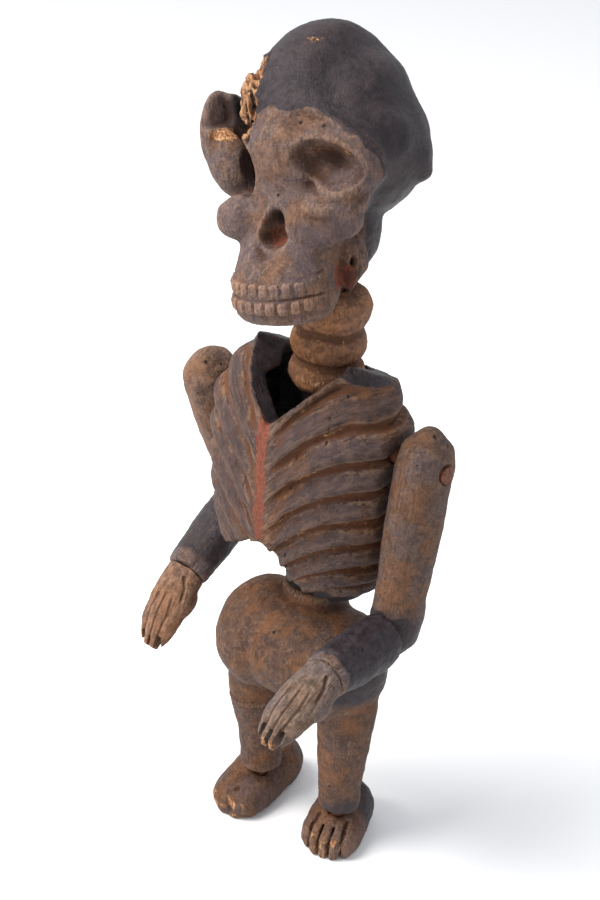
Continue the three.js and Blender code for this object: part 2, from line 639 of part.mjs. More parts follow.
// The skull leans about the top of the neck, and its underside is then cut level with the neck's top.
function leaningSkull() {
  const lean = moved(0, 0, LEAN.z)
    .multiply(new THREE.Matrix4().makeRotationY(THREE.MathUtils.degToRad(LEAN.degrees)))
    .multiply(moved(0, 0, -LEAN.z));
  const clearOfNeck = bar(
    new THREE.Vector3(0, NECK_Y, NECK_FOOT),
    new THREE.Vector3(0, NECK_Y, SKULL_SEAT),
    WIDEST_NECK_RING + 1.5, 24,
  );
  return solid(geometryOf(skull()), lean)
    .subtract(clearOfNeck)
    .subtract(upright(new THREE.Vector3(0, NECK_Y, SKULL_SEAT), SKULL_PEG, GAP));
}

// ---- Finishes and the assembled figure ---------------------------------------------------------

const WOOD = {
  bone: { color: 0x5a4a3e, roughness: 0.82, metalness: 0 },
  body: { color: 0x51402f, roughness: 0.85, metalness: 0 },
  limb: { color: 0x58422f, roughness: 0.86, metalness: 0 },
  peg: { color: 0x8a4a2c, roughness: 0.8, metalness: 0 },
};

function piece(name, manifold, finish) {
  const mesh = new THREE.Mesh(geometryOf(manifold), new THREE.MeshStandardMaterial(WOOD[finish]));
  mesh.name = name;
  return mesh;
}

function arm(name, side, swing) {
  const group = new THREE.Group();
  const way = pointing(FOREARM.bend);
  group.add(piece(`${name}_upper_arm`, upperArm(side), "limb"));
  group.add(piece(`${name}_forearm`, forearm(side), "limb"));
  group.add(piece(`${name}_hand`, hand(), "limb"));
  group.add(piece(`${name}_elbow_peg`, jointPeg(ELBOW, way, FOREARM.start, ELBOW_PEG), "peg"));
  group.add(piece(`${name}_wrist_peg`, jointPeg(ELBOW, way, FOREARM.length, WRIST_PEG), "peg"));
  group.position.set(side * SHOULDER.x, SHOULDER.y, SHOULDER.z);
  group.rotation.x = THREE.MathUtils.degToRad(-swing);
  return group;
}

function head() {
  const group = new THREE.Group();
  group.add(piece("skull", leaningSkull(), "bone"));
  group.add(piece("neck", neck(), "body"));
  group.add(piece("skull_peg", upright(new THREE.Vector3(0, NECK_Y, SKULL_SEAT), SKULL_PEG), "peg"));
  return group;
}

function trunk() {
  const group = new THREE.Group();
  group.add(piece("ribcage", ribcage(), "body"));
  group.add(piece("hips_and_legs", hipsAndLegs(), "limb"));
  group.add(piece("waist_peg", upright(new THREE.Vector3(0, BACKBONE.y, WAIST_SEAM), WAIST_PEG), "peg"));
  group.add(piece("left_foot", footPiece(LEFT_FOOT, LEFT), "limb"));
  group.add(piece("right_foot", footPiece(RIGHT_FOOT, RIGHT), "limb"));
  group.add(piece("left_ankle_peg", upright(ankle(LEFT), ANKLE_PEG), "peg"));
  group.add(piece("right_ankle_peg", upright(ankle(RIGHT), ANKLE_PEG), "peg"));
  group.add(piece("left_shoulder_peg", shoulderPeg(LEFT), "peg"));
  group.add(piece("right_shoulder_peg", shoulderPeg(RIGHT), "peg"));
  return group;
}

const figure = new THREE.Group();
figure.add(trunk(), head(), arm("left", LEFT, LEFT_SWING), arm("right", RIGHT, RIGHT_SWING));

// The origin is on the ground under the middle of the figure's box.
const extent = new THREE.Box3().setFromObject(figure, true);
const middle = extent.getCenter(new THREE.Vector3());
figure.position.set(-middle.x, -middle.y, -extent.min.z);
figure.updateMatrixWorld(true);

export default figure;
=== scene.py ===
import json
import math

import bpy
import numpy as np
from mathutils import Matrix, Vector, noise


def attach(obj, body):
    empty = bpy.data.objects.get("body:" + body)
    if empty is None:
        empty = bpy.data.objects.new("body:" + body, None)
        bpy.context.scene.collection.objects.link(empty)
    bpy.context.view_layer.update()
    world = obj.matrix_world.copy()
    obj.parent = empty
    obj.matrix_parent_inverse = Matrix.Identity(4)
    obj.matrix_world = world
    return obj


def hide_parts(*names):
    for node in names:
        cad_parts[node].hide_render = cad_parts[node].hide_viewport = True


bl_info = {
    "name": "Carved Skeleton Figure",
    "version": (1, 0, 0),
    "blender": (4, 5, 0),
    "location": "3D View > Sidebar > Skeleton Figure",
    "description": "Carves and paints the wooden skeleton figure around its jointed frame",
    "category": "Object",
}

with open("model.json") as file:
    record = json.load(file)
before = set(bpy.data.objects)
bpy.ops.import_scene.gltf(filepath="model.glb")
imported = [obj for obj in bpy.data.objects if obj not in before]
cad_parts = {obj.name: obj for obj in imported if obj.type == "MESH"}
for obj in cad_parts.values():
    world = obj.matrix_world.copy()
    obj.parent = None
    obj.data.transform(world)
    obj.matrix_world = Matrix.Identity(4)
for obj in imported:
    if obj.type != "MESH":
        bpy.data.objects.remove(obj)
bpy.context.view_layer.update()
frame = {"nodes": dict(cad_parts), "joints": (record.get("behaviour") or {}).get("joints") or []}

# ---- Where things are ---------------------------------------------------------------------------
# The carving is worked out in millimetres about the figure's own middle: +X is the figure's left,
# it faces -Y, and the floor is at 0. A space is the matrix from such millimetres to the row's metres.

JOINTS = {joint["name"]: Vector(joint["pos_m"]) * 1000 for joint in frame["joints"]}
DEPTH = JOINTS["head_turn"].y + 5
BODY = Matrix.Scale(0.001, 4) @ Matrix.Translation((0, DEPTH, 0))
LEAN = math.radians(-13)
LEAN_FROM = JOINTS["head_turn"].z + 47
HEAD = (
    BODY
    @ Matrix.Translation((0, 0, LEAN_FROM))
    @ Matrix.Rotation(LEAN, 4, "Y")
    @ Matrix.Translation((0, 0, -LEAN_FROM))
)
UPPER_ARM_LENGTH = 90
FOREARM_LENGTH = 60
FOREARM_BEND = 84
HAND_BEND = 68
ARM_SWINGS = {"left": 7, "right": -25}
RIBS = {"lowest": 147.5, "pitch": 10.2, "growth": 0.42, "rise": 35, "sweep": 1.45}
CHEST_MIDDLE = -10.0
CHEST_RADII = (50, 36)
CAP_MIDDLE = (0, 13, 404)
CAP_RADII = (45.5, 47.5, 47)
JAW_MIDDLE = -37
JAW_RADII = (26.5, 27.5)
BITE_LEVEL = 344.8
SOCKET_MIDDLE = (28.5, -36, 402.5)
SOCKET_RADII = (17.5, 9.8)

# One row of teeth: its level, the half width and half depth of its curve, its shift along the row in
# teeth, and half of a tooth's width, depth and height.
TEETH_ROWS = ((348.9, 24.3, 25.5, 0.0, (2.5, 2.6, 3.3)), (340.6, 25.1, 26.4, 0.5, (2.5, 2.5, 3.1)))
TOOTH_ANGLE = 0.222

# Meshes that melt joined shapes together before the last and finest one, in metres.
MELT_STEPS = {"skull": 0.0013, "broken_brow": 0.0011, "foot": 0.0012, "upper_arm": 0.0015, "forearm": 0.0013}
BUMP_DEPTH = 0.0012

# The camera's angles in degrees and the lamp's direction, each with the point it is aimed at.
CAMERA = {
    "azimuth": 35.4, "elevation": 27.8, "roll": 4.57, "aim": (-15.8, 0, 236.9), "away": 0.9362, "lens": 71.96}
WINDOW = {
    "way": (-0.62, -0.72, 1.15), "aim": (0, 0, 220), "away": 1.7, "size": 1.3, "colour": (1.0, 0.975, 0.94)}
SKY_COLOUR = (0.93, 0.955, 1.0, 1)


def hanging(start, degrees):
    """A limb's own space: it hangs down -Z from its start and has its back towards -Y."""
    return Matrix.Translation(start) @ Matrix.Rotation(math.radians(-degrees), 4, "X")


def arm_spaces(side):
    """The spaces of one arm's three pieces, by name."""
    shoulder = JOINTS[f"{side}_shoulder"]
    upper = Matrix.Scale(0.001, 4) @ hanging(shoulder, ARM_SWINGS[side])
    fore = upper @ hanging((0, 0, -UPPER_ARM_LENGTH), FOREARM_BEND)
    hand = fore @ hanging((0, 0, -FOREARM_LENGTH), HAND_BEND - FOREARM_BEND)
    return {"upper_arm": upper, "forearm": fore, "hand": hand}


def tone(red, green, blue):
    """A colour from 0-255 screen values."""
    parts = [part / 255 for part in (red, green, blue)]
    return tuple(part / 12.92 if part <= 0.04045 else ((part + 0.055) / 1.055) ** 2.4 for part in parts)


# ---- Sizes and colours a user would change ------------------------------------------------------


def length(name, description, default):
    """A length the user can change, in metres."""
    return bpy.props.FloatProperty(
        name=name, description=description, default=default, unit="LENGTH", subtype="DISTANCE")


def swatch(name, description, default):
    """A colour the user can change."""
    return bpy.props.FloatVectorProperty(name=name, description=description, default=default, subtype="COLOR")


class FigureCarving(bpy.types.PropertyGroup):
    skull_step: length("Skull step", "Spacing of the skull's carving mesh", 0.00088)
    chest_step: length("Chest step", "Spacing of the chest's carving mesh", 0.00105)
    hips_step: length("Hips step", "Spacing of the hips' and legs' carving mesh", 0.0009)
    limb_step: length("Limb step", "Spacing of the arms', feet's and neck's carving mesh", 0.0006)
    hand_step: length("Hand step", "Spacing of the hands' and teeth's carving mesh", 0.00045)
    peg_step: length("Peg step", "Spacing of the pegs' carving mesh", 0.0005)
    rib_depth: length("Rib depth", "How deep the grooves between ribs are", 0.0022)


class FigureTones(bpy.types.PropertyGroup):
    cap: swatch("Cap", "Dark patina of the cranium", tone(38, 33, 38))
    bone: swatch("Bone", "Bare carved wood of the face", tone(94, 71, 59))
    body: swatch("Body", "Wood of the chest and neck", tone(88, 62, 46))
    limb: swatch("Limb", "Wood of the hips, legs and feet", tone(82, 56, 39))
    arm: swatch("Arm", "Wood of the arms", tone(98, 73, 57))
    hand: swatch("Hand", "Dry grey wood of the hands", tone(108, 88, 74))
    raw: swatch("Raw wood", "Broken and chipped places", tone(158, 100, 56))
    paint: swatch("Red paint", "Paint left on the breastbone and in the jaw", tone(128, 62, 42))


class FigureStage(bpy.types.PropertyGroup):
    floor: swatch("Floor", "Colour of the floor", (0.9, 0.9, 0.905))
    sky: bpy.props.FloatProperty(
        name="Sky", description="Brightness of the soft light all round", default=0.85, min=0)
    lamp: bpy.props.FloatProperty(
        name="Lamp", description="Power of the large soft lamp", default=52, min=0, subtype="POWER",
        unit="POWER")


# ---- Working on meshes --------------------------------------------------------------------------


def pick(*pieces):
    """Select only these pieces, the last one active."""
    if bpy.context.object and bpy.context.object.mode != "OBJECT":
        bpy.ops.object.mode_set(mode="OBJECT")
    bpy.ops.object.select_all(action="DESELECT")
    for piece in pieces:
        piece.select_set(True)
        bpy.context.view_layer.objects.active = piece


def knit(piece):
    """Merge the doubled corners of a copied solid."""
    pick(piece)
    bpy.ops.object.mode_set(mode="EDIT")
    bpy.ops.mesh.select_all(action="SELECT")
    bpy.ops.mesh.remove_doubles(threshold=0.000001)
    bpy.ops.object.mode_set(mode="OBJECT")


def solid_copy(node, name):
    """A knitted copy of a CAD solid, under a new name."""
    piece = bpy.data.objects.new(name, frame["nodes"][node].data.copy())
    piece.data.name = name
    piece.data.materials.clear()
    bpy.context.scene.collection.objects.link(piece)
    knit(piece)
    return piece


def settle(piece, kind, **settings):
    """Add a modifier and apply it."""
    pick(piece)
    bpy.ops.object.modifier_add(type=kind)
    modifier = piece.modifiers[-1]
    for key, value in settings.items():
        setattr(modifier, key, value)
    bpy.ops.object.modifier_apply(modifier=modifier.name)


def remesh(piece, step, rounds=4):
    """Rebuild the surface as even squares, and take the stair steps off it."""
    settle(piece, "REMESH", mode="VOXEL", voxel_size=step, use_smooth_shade=True)
    if rounds:
        settle(piece, "SMOOTH", factor=0.5, iterations=rounds)
    if not piece.data.polygons:
        raise RuntimeError(f"{piece.name} came out of its remesh empty")


def turned(centre, turn):
    """A move to a centre, then turns in degrees about X, Y and Z."""
    matrix = Matrix.Translation(centre)
    for axis, degrees in zip("XYZ", turn):
        matrix = matrix @ Matrix.Rotation(math.radians(degrees), 4, axis)
    return matrix


def lump(space, centre, radii, turn=(0, 0, 0)):
    """A ball stretched to its radii and turned, in millimetres of a space."""
    pick()
    bpy.ops.mesh.primitive_uv_sphere_add(segments=40, ring_count=24, radius=1)
    ball = bpy.context.object
    ball.data.transform(space @ turned(centre, turn) @ Matrix.Diagonal((*radii, 1)))
    return ball


def block(space, centre, halves, turn=(0, 0, 0), soft=0.25):
    """A box with rounded edges, in millimetres of a space."""
    pick()
    bpy.ops.mesh.primitive_cube_add(size=2)
    cube = bpy.context.object
    bpy.ops.object.mode_set(mode="EDIT")
    bpy.ops.mesh.bevel(offset=soft, segments=3, affect="EDGES")
    bpy.ops.object.mode_set(mode="OBJECT")
    cube.data.transform(space @ turned(centre, turn) @ Matrix.Diagonal((*halves, 1)))
    return cube


def join(piece, others):
    """Join other meshes into a piece."""
    pick(*others, piece)
    bpy.ops.object.join()


def cut_out(piece, cutters):
    """Cut other meshes out of a piece, and remove them."""
    for cutter in cutters:
        settle(piece, "BOOLEAN", operation="DIFFERENCE", solver="EXACT", object=cutter)
        bpy.data.objects.remove(cutter)


def through(matrix, points):
    """Points taken through a 4 x 4 matrix."""
    return points @ matrix[:3, :3].T + matrix[:3, 3]


def lumps(points, size, seed=0.0, layers=3):
    """Noise between about -1 and 1 at each point, with features of a size in mm."""
    stretch = np.array(size, float) * np.ones(3)
    moved = points / stretch + (seed, seed * 1.7, seed * 2.3)
    return np.array([noise.fractal(Vector(point), 1.0, 2.0, layers) for point in moved])


def soft_step(low, high, values):
    """0 at low and 1 at high, with a soft rise between; it falls where low is above high."""
    part = np.clip((values - low) / (high - low), 0, 1)
    return part * part * (3 - 2 * part)


# The first and the last of these tints hold painted shade: one in the hollows, one near black in the deepest
# places.
TINTS = ("hollow_shade", "wear", "stain", "ridge", "raw", "red", "deep_shade")


class Carving:
    """A piece's surface held as arrays of millimetres while strokes are cut in it."""

    def __init__(self, piece, space):
        self.piece = piece
        self.space = np.array(space)
        count = len(piece.data.vertices)
        flat = np.empty(count * 3)
        piece.data.vertices.foreach_get("co", flat)
        self.at = through(np.array(space.inverted()), flat.reshape(-1, 3))
        pairs = np.empty(len(piece.data.edges) * 2, np.int32)
        piece.data.edges.foreach_get("vertices", pairs)
        self.pairs = pairs.reshape(-1, 2)
        self.degree = np.bincount(pairs, minlength=count)[:, None]
        self.tints = {name: np.zeros(count) for name in TINTS}
        self.grain = None
        self.turn_out()

    def turn_out(self):
        """Write the points to the mesh and read the normals again."""
        self.piece.data.vertices.foreach_set("co", through(self.space, self.at).ravel())
        self.piece.data.update()
        normals = np.empty(len(self.at) * 3)
        self.piece.data.vertex_normals.foreach_get("vector", normals)
        turned = normals.reshape(-1, 3) @ self.space[:3, :3]
        self.out = turned / np.maximum(np.linalg.norm(turned, axis=1, keepdims=True), 1e-12)

    def near(self, centre, radii):
        """1 at a place, fading to 0 at about twice the radii."""
        return np.exp(-(((self.at - centre) / radii) ** 2).sum(1))

    def swell(self, centre, radii, amount):
        """Raise the surface round a place."""
        self.at += self.out * (amount * self.near(centre, radii))[:, None]

    def push(self, centre, radii, way):
        """Move what is round a place in one direction."""
        self.at += self.near(centre, radii)[:, None] * np.array(way, float)

    def raise_by(self, amounts):
        """Raise each point by its own amount, in mm."""
        self.at += self.out * np.asarray(amounts)[:, None]

    def off_path(self, path):
        """Distance of each point from a line of points."""
        path = np.array(path, float)
        nearest = np.full(len(self.at), 1e9)
        for start, end in zip(path[:-1], path[1:]):
            way = end - start
            part = np.clip(((self.at - start) @ way) / (way @ way), 0, 1)
            gap = np.linalg.norm(self.at - start - part[:, None] * way, axis=1)
            nearest = np.minimum(nearest, gap)
        return nearest

    def stroke(self, path, width, depth, tint="", strength=1.0):
        """Cut a groove along a line, or raise a ridge with a negative depth, and tint it."""
        part = 1 - soft_step(0, width, self.off_path(path))
        self.at -= self.out * (depth * part)[:, None]
        if tint:
            self.tint(tint, part * strength)

    def tint(self, name, amounts):
        """Note where a look belongs, keeping the stronger of two."""
        self.tints[name] = np.maximum(self.tints[name], np.clip(amounts, 0, 1))

    def plane(self, point, normal, soft=1.5):
        """Pare away what stands beyond a plane."""
        normal = np.array(normal, float) / np.linalg.norm(normal)
        beyond = (self.at - point) @ normal
        eased = np.where(beyond > -soft, (beyond + soft) ** 2 / (4 * soft), 0)
        over = np.where(beyond > soft, beyond, eased)
        self.at -= normal * over[:, None]

    def evened(self, rounds, part=1.0):
        """The points after rounds of evening out, where part is above 0."""
        smooth = self.at
        first, second = self.pairs.T
        count = len(smooth)
        for _ in range(rounds):
            total = np.stack([
                np.bincount(first, smooth[second, k], count) + np.bincount(second, smooth[first, k], count)
                for k in range(3)], 1)
            smooth = smooth + 0.5 * part * (total / self.degree - smooth)
        return smooth

    def calm(self, part, rounds):
        """Even out the surface where part is above 0."""
        self.at = self.evened(rounds, part[:, None])
        self.turn_out()

    def relief(self, rounds):
        """How far each point stands out of, or lies below, its smoothed surroundings, in mm."""
        return ((self.at - self.evened(rounds)) * self.out).sum(1)

    def finish(self, rough=0.12, facets=0.25, seed=1.0, rounds=30):
        """Give the surface its knife facets and small roughness, and write the tints."""
        self.turn_out()
        knife = facets * lumps(self.at, 7.0, seed, 2)
        self.raise_by(knife + rough * lumps(self.at, 1.6, seed + 5, 3))
        self.turn_out()
        broad = self.relief(rounds)
        fine = self.relief(5)
        self.tint("wear", broad / 0.9 + fine / 0.16)
        # Painted shade goes where a point lies below its smoothed surroundings
        self.tint("hollow_shade", -broad / 0.8 - fine / 0.2)
        mesh = self.piece.data
        for name, values in self.tints.items():
            layer = mesh.attributes.new(name, "FLOAT", "POINT")
            layer.data.foreach_set("value", values.astype(np.float32))
        layer = mesh.attributes.new("grain", "FLOAT_VECTOR", "POINT")
        grain = self.at if self.grain is None else self.grain
        layer.data.foreach_set("vector", grain.astype(np.float32).ravel())
        pick(self.piece)
        bpy.ops.object.shade_smooth()


def place(piece, body, nodes, material):
    """Hand a finished piece to its body, node and finish."""
    piece.data.materials.clear()
    piece.data.materials.append(material)
    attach(piece, body)
    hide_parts(*nodes)


# ---- Shaders ------------------------------------------------------------------------------------


class Value:
    """A shader socket that can be used in sums."""

    def __init__(self, bench, socket):
        self.bench = bench
        self.socket = socket

    def _sum(self, operation, first, second=None, clamp=False):
        inputs = {0: first} if second is None else {0: first, 1: second}
        return self.bench.add("ShaderNodeMath", {"operation": operation, "use_clamp": clamp}, inputs)

    def __add__(self, other):
        return self._sum("ADD", self, other)

    def __sub__(self, other):
        return self._sum("SUBTRACT", self, other)

    def __mul__(self, other):
        return self._sum("MULTIPLY", self, other)

    __radd__ = __add__

    def clamped(self):
        return self._sum("ADD", self, 0.0, clamp=True)

    def step(self, low, high):
        """0 below low and 1 above high, with a soft rise between; it falls where low is above high."""
        rise = {"From Min": min(low, high), "From Max": max(low, high)}
        ends = {"To Min": 0.0, "To Max": 1.0} if low < high else {"To Min": 1.0, "To Max": 0.0}
        settings = {"interpolation_type": "SMOOTHSTEP"}
        return self.bench.add("ShaderNodeMapRange", settings, {"Value": self, **rise, **ends})


class Bench:
    """A material's nodes, and the one way they are added."""

    def __init__(self, name):
        self.material = bpy.data.materials.new(name)
        self.material.use_nodes = True
        self.tree = self.material.node_tree
        self.tree.nodes.clear()

    def add(self, kind, settings=None, inputs=None, output=0):
        node = self.tree.nodes.new(kind)
        for key, value in (settings or {}).items():
            setattr(node, key, value)
        for key, value in (inputs or {}).items():
            if isinstance(value, Value):
                self.tree.links.new(value.socket, node.inputs[key])
            else:
                node.inputs[key].default_value = value
        return Value(self, node.outputs[output]) if node.outputs else None

    def tint(self, name):
        return self.add("ShaderNodeAttribute", {"attribute_name": name}, output="Fac")

    def blend(self, part, first, second):
        """The first colour where part is 0, and the second where it is 1."""
        first, second = (c if isinstance(c, Value) else (*c, 1) for c in (first, second))
        return self.add("ShaderNodeMix", {"data_type": "RGBA"}, {0: part, 6: first, 7: second}, output=2)

    def spots(self, where, per_mm):
        """Distance from the nearest of many scattered points."""
        inputs = {"Vector": where, "Scale": per_mm, "Randomness": 1.0}
        return self.add("ShaderNodeTexVoronoi", {"feature": "F1"}, inputs)

    def clouds(self, where, per_mm, detail=4.0, rough=0.6, twist=0.0):
        settings = {"Vector": where, "Scale": per_mm, "Detail": detail, "Roughness": rough, "Distortion": twist}
        return self.add("ShaderNodeTexNoise", {}, settings)

    def stretched(self, where, scale):
        return self.add("ShaderNodeVectorMath", {"operation": "MULTIPLY"}, {0: where, 1: scale})

    def surface(self, colour, roughness, height, specular=0.22):
        """Finish the material, and return it."""
        normal = self.add("ShaderNodeBump", {}, {"Strength": 1.0, "Distance": BUMP_DEPTH, "Height": height})
        shader = self.add("ShaderNodeBsdfPrincipled", {}, {
            "Base Color": colour, "Roughness": roughness, "Normal": normal, "Specular IOR Level": specular})
        self.add("ShaderNodeOutputMaterial", {}, {"Surface": shader})
        return self.material


def shade(colour, by):
    """A colour made darker or lighter."""
    return tuple(part * by for part in colour)


def mixed(first, second, part):
    """A colour part of the way from the first to the second."""
    return tuple(a + (b - a) * part for a, b in zip(first, second))


def aged_wood(name, base, tones, grey=0.35, warmth=0.4, streaks=0.5, groove=None, bump=1.0, pits=0.5):
    """Old carved wood: mottled, streaked along its grain and dusty on its ridges, with painted shade in its
    hollows and near black painted shade in its deepest places.
    """
    bench = Bench(name)
    where = bench.add("ShaderNodeAttribute", {"attribute_name": "grain"}, output="Vector")
    bare = tuple(tones.raw)
    red = tuple(tones.paint)
    patina = tuple(tones.cap)
    # The colour of the painted shade in the hollows
    groove = groove or mixed(shade(base, 0.34), tone(70, 40, 24), 0.5)
    wide = bench.clouds(where, 0.055, 5, 0.62)
    blotch = bench.clouds(where, 0.21, 5, 0.66, 0.6)
    speck = bench.clouds(where, 0.95, 4, 0.75)
    along = bench.stretched(where, (1.0, 1.0, 0.09))
    fibre = bench.clouds(along, 0.75, 5, 0.68, 0.25)
    thread = bench.clouds(along, 2.3, 3, 0.6)
    pores = bench.spots(where, 0.24).step(0.17, 0.1) * blotch.step(0.5, 0.6) * pits
    worm = bench.spots(where, 0.062).step(0.062, 0.045)

    hollow_shade = bench.tint("hollow_shade")
    wear = bench.tint("wear")
    stain = (bench.tint("stain") + (blotch - 0.5) * 0.5 + (speck - 0.5) * 0.35).step(0.42, 0.58)
    raw = (bench.tint("raw") + (blotch - 0.5) * 0.6 + (fibre - 0.5) * 0.5).step(0.4, 0.62)
    paint = (bench.tint("red") + (blotch - 0.5) * 0.45 + (speck - 0.5) * 0.45).step(0.38, 0.6)
    deep_shade = bench.tint("deep_shade")

    colour = bench.blend(blotch.step(0.37, 0.63), shade(base, 0.5), shade(base, 1.32))
    ashen = mixed(shade(base, 0.8), tone(82, 78, 90), 0.6)
    colour = bench.blend(wide.step(0.4, 0.62) * grey, colour, ashen)
    colour = bench.blend(wide.step(0.52, 0.36) * warmth, colour, mixed(base, tone(132, 80, 44), 0.5))
    colour = bench.blend(fibre.step(0.52, 0.36) * streaks, colour, shade(base, 0.26))
    dust = mixed(shade(base, 1.5), tone(170, 140, 116), 0.3)
    colour = bench.blend(speck.step(0.54, 0.68) * 0.55, colour, dust)
    rubbed = wear.step(0.25, 1.0) * fibre.step(0.4, 0.6) * 0.55
    colour = bench.blend(rubbed, colour, mixed(shade(base, 1.5), tone(168, 142, 120), 0.3))
    crest = (bench.tint("ridge") + (wide - 0.5) * 1.4 + (fibre - 0.5) * 0.8).step(0.35, 0.95)
    colour = bench.blend(crest * 0.55, colour, mixed(shade(base, 0.5), tone(58, 52, 60), 0.6))
    # Painted shade in the hollows
    colour = bench.blend(hollow_shade.step(0.1, 0.9) * 0.75, colour, groove)
    dark = bench.blend(blotch.step(0.35, 0.66), shade(patina, 0.5), shade(patina, 1.4))
    dark = bench.blend(wide.step(0.5, 0.64) * 0.5, dark, mixed(shade(patina, 1.2), tone(84, 62, 52), 0.3))
    dark = bench.blend(thread.step(0.52, 0.68) * 0.35, dark, shade(patina, 1.9))
    chips = wear.step(0.5, 1.0) * speck.step(0.5, 0.66) * 0.55
    dark = bench.blend(chips, dark, mixed(patina, bare, 0.5))
    colour = bench.blend(stain * 0.93, colour, dark)
    flake = bench.blend(
        fibre.step(0.4, 0.62), mixed(bare, tone(110, 62, 34), 0.65), mixed(bare, tone(228, 194, 154), 0.45))
    colour = bench.blend(raw * 0.95, colour, flake)
    worn_paint = bench.blend(speck.step(0.4, 0.66), shade(red, 0.72), mixed(red, tone(166, 96, 66), 0.4))
    colour = bench.blend(paint * 0.75, colour, worn_paint)
    # Near black painted shade in the deepest places
    colour = bench.blend(deep_shade.step(0.0, 1.0), colour, tone(22, 17, 16))
    colour = bench.blend((pores * 0.8 + worm * 0.95).clamped(), colour, tone(28, 20, 17))

    roughness = 0.64 + (blotch - 0.5) * 0.3 - stain * 0.2 + raw * 0.14 + hollow_shade * 0.1
    height = fibre * 0.5 + thread * 0.16 + speck * 0.28 + blotch * 0.5
    height = height - pores * 0.5 - worm * 1.1 + raw * fibre * 0.8
    return bench.surface(colour, roughness, height * bump)


# ---- The pieces ---------------------------------------------------------------------------------


def round_jaw(angle, level, out=0.0):
    """A point on the curve of the jaws, at an angle from their front."""
    half_width, half_depth = (radius + out for radius in JAW_RADII)
    return (half_width * math.sin(angle), JAW_MIDDLE - half_depth * math.cos(angle), level)


class FIGURE_OT_skull(bpy.types.Operator):
    """Carve the skull: dark cap, bare face, sockets, broken brow, cheeks, nose and jaws"""

    bl_idname = "figure.skull"
    bl_label = "Carve the skull"

    def execute(self, context):
        sizes, tones = context.scene.figure_carving, context.scene.figure_tones
        skull = solid_copy("skull", "carved_skull")
        join(skull, [
            lump(HEAD, (28, -16, 400), (18, 20.5, 16)),  # fills the near socket before it is cut again
            lump(HEAD, (30, -24, 390), (13, 15, 9)),
            lump(HEAD, (30, -31, 378), (12, 11, 11)),
            lump(HEAD, (36, 27, 391), (9, 12, 10)),
            lump(HEAD, (3, -36, 404), (15, 8, 20), (8, 0, 0)),
            lump(HEAD, (1, -42, 371), (8, 12.5, 12)),  # fills the nose
            lump(HEAD, (25, -16, 350), (5, 8, 16), (-18, -8, 0)),
        ])
        remesh(skull, MELT_STEPS["skull"], 5)
        cut_out(skull, [
            lump(HEAD, (3.5, -52, 370.5), (7.2, 15, 5.2)),
            lump(HEAD, (3.2, -51, 376.5), (5.0, 14, 8.5)),
            block(HEAD, (-36, -46, 436), (21, 30, 19), (0, 0, 0), 0.1),
            lump(HEAD, (-31, -36, 400), (10, 20, 17), (0, 8, 0)),
        ])
        join(skull, [
            lump(HEAD, (-47.5, -19, 413), (4.6, 14, 20.5), (0, 4, 0)),
            lump(HEAD, (-38, -25, 399), (11.5, 10, 17.5), (0, -18, -14)),
            lump(HEAD, (-21, -20, 427), (6.5, 9, 13)),
        ])
        remesh(skull, MELT_STEPS["broken_brow"], 4)
        cut_out(skull, [lump(HEAD, (-20.5, -31, 399), (6.6, 21, 14.5), (0, -6, 20))])
        remesh(skull, sizes.skull_step, 10)
        cut = Carving(skull, HEAD)
        # The cap falls smoothly behind the near temple, to a corner at the back and down to the neck
        x, y, z = cut.at.T
        edge = -26 + np.clip(425 - z, 0, 60) * 0.42
        behind = soft_step(0, 7, y - edge) * soft_step(8, 24, x) * soft_step(380, 392, z)
        from_middle = cut.at - CAP_MIDDLE
        reach = np.linalg.norm(from_middle / CAP_RADII, axis=1)
        inside = np.where(reach > 1, 1 / np.maximum(reach, 1e-6), 1)
        fair = CAP_MIDDLE + from_middle * inside[:, None]
        cut.at += (fair - cut.at) * (behind * (reach > 1))[:, None]
        cut.calm(np.maximum(behind, soft_step(428, 434, z) * soft_step(-14, -8, x)), 90)
        for side in (1, -1):
            cut.plane((side * 46, 34, 388), (side * 0.62, 0.36, -0.68))
        cut.turn_out()
        # The forehead, one smooth plane, and the cheeks below the sockets
        x, y, z = cut.at.T
        forehead = soft_step(-44, -24, -y) * soft_step(403, 409, z) * soft_step(432, 426, z)
        cut.calm(forehead * soft_step(-15, -10, x), 60)
        cheeks = 0.9 * soft_step(372, 377, z) * soft_step(394, 388, z) * (y < -15)
        cut.calm(cheeks * soft_step(8, 14, np.abs(x)), 30)
        cut.push((27, -50, 377), (11, 9, 9), (-1.5, 4.5, 0))  # the near cheek is flat
        cut.calm(cut.near((27, -44, 377), (14, 14, 9)), 90)
        cut.calm(cut.near((27, -36, 402), (15, 13, 11)), 60)
        cut.stroke([(13, -50, 388), (22, -47, 385), (30, -42, 383), (37, -31, 381), (43, -21, 385)], 4.5, -1.5)
        for side in (1, -1):
            cut.stroke([(side * 11, -48, 390), (side * 15, -50, 379), (side * 15, -52, 368)], 5, 1.1)
        cut.swell((29, -42, 370), (6, 6, 6), 1.5)
        cut.swell((-33, -43, 373), (7, 8, 8), 1.6)
        # The near socket is an almond dish with a raised edge, deepest in its upper middle
        off_middle = cut.at - SOCKET_MIDDLE
        u = off_middle @ (0.85, 0.34, -0.4) / SOCKET_RADII[0]
        v = off_middle @ (0.4, 0, 0.9) / SOCKET_RADII[1]
        reach = np.hypot(u, v)
        front = soft_step(-12, -18, cut.at[:, 1])
        dish = 7.5 * np.clip(1 - reach ** 2, 0, 1) ** 0.75
        dish = dish + 5.5 * np.exp(-((u - 0.05) / 0.4) ** 2 - ((v - 0.22) / 0.45) ** 2)
        cut.raise_by(front * 0.7 * np.exp(-((reach - 1.1) / 0.18) ** 2))
        cut.at += (front * dish)[:, None] * (-0.25, 0.95, -0.12)
        cut.turn_out()
        # The mask's edge, from the brow out to the temple
        rim = [(-2, -36, 426), (12, -33, 429), (24, -26, 426), (36, -24, 413), (43, -18, 401), (46, -11, 389)]
        cut.stroke(rim, 4.5, -1.3)
        cut.turn_out()
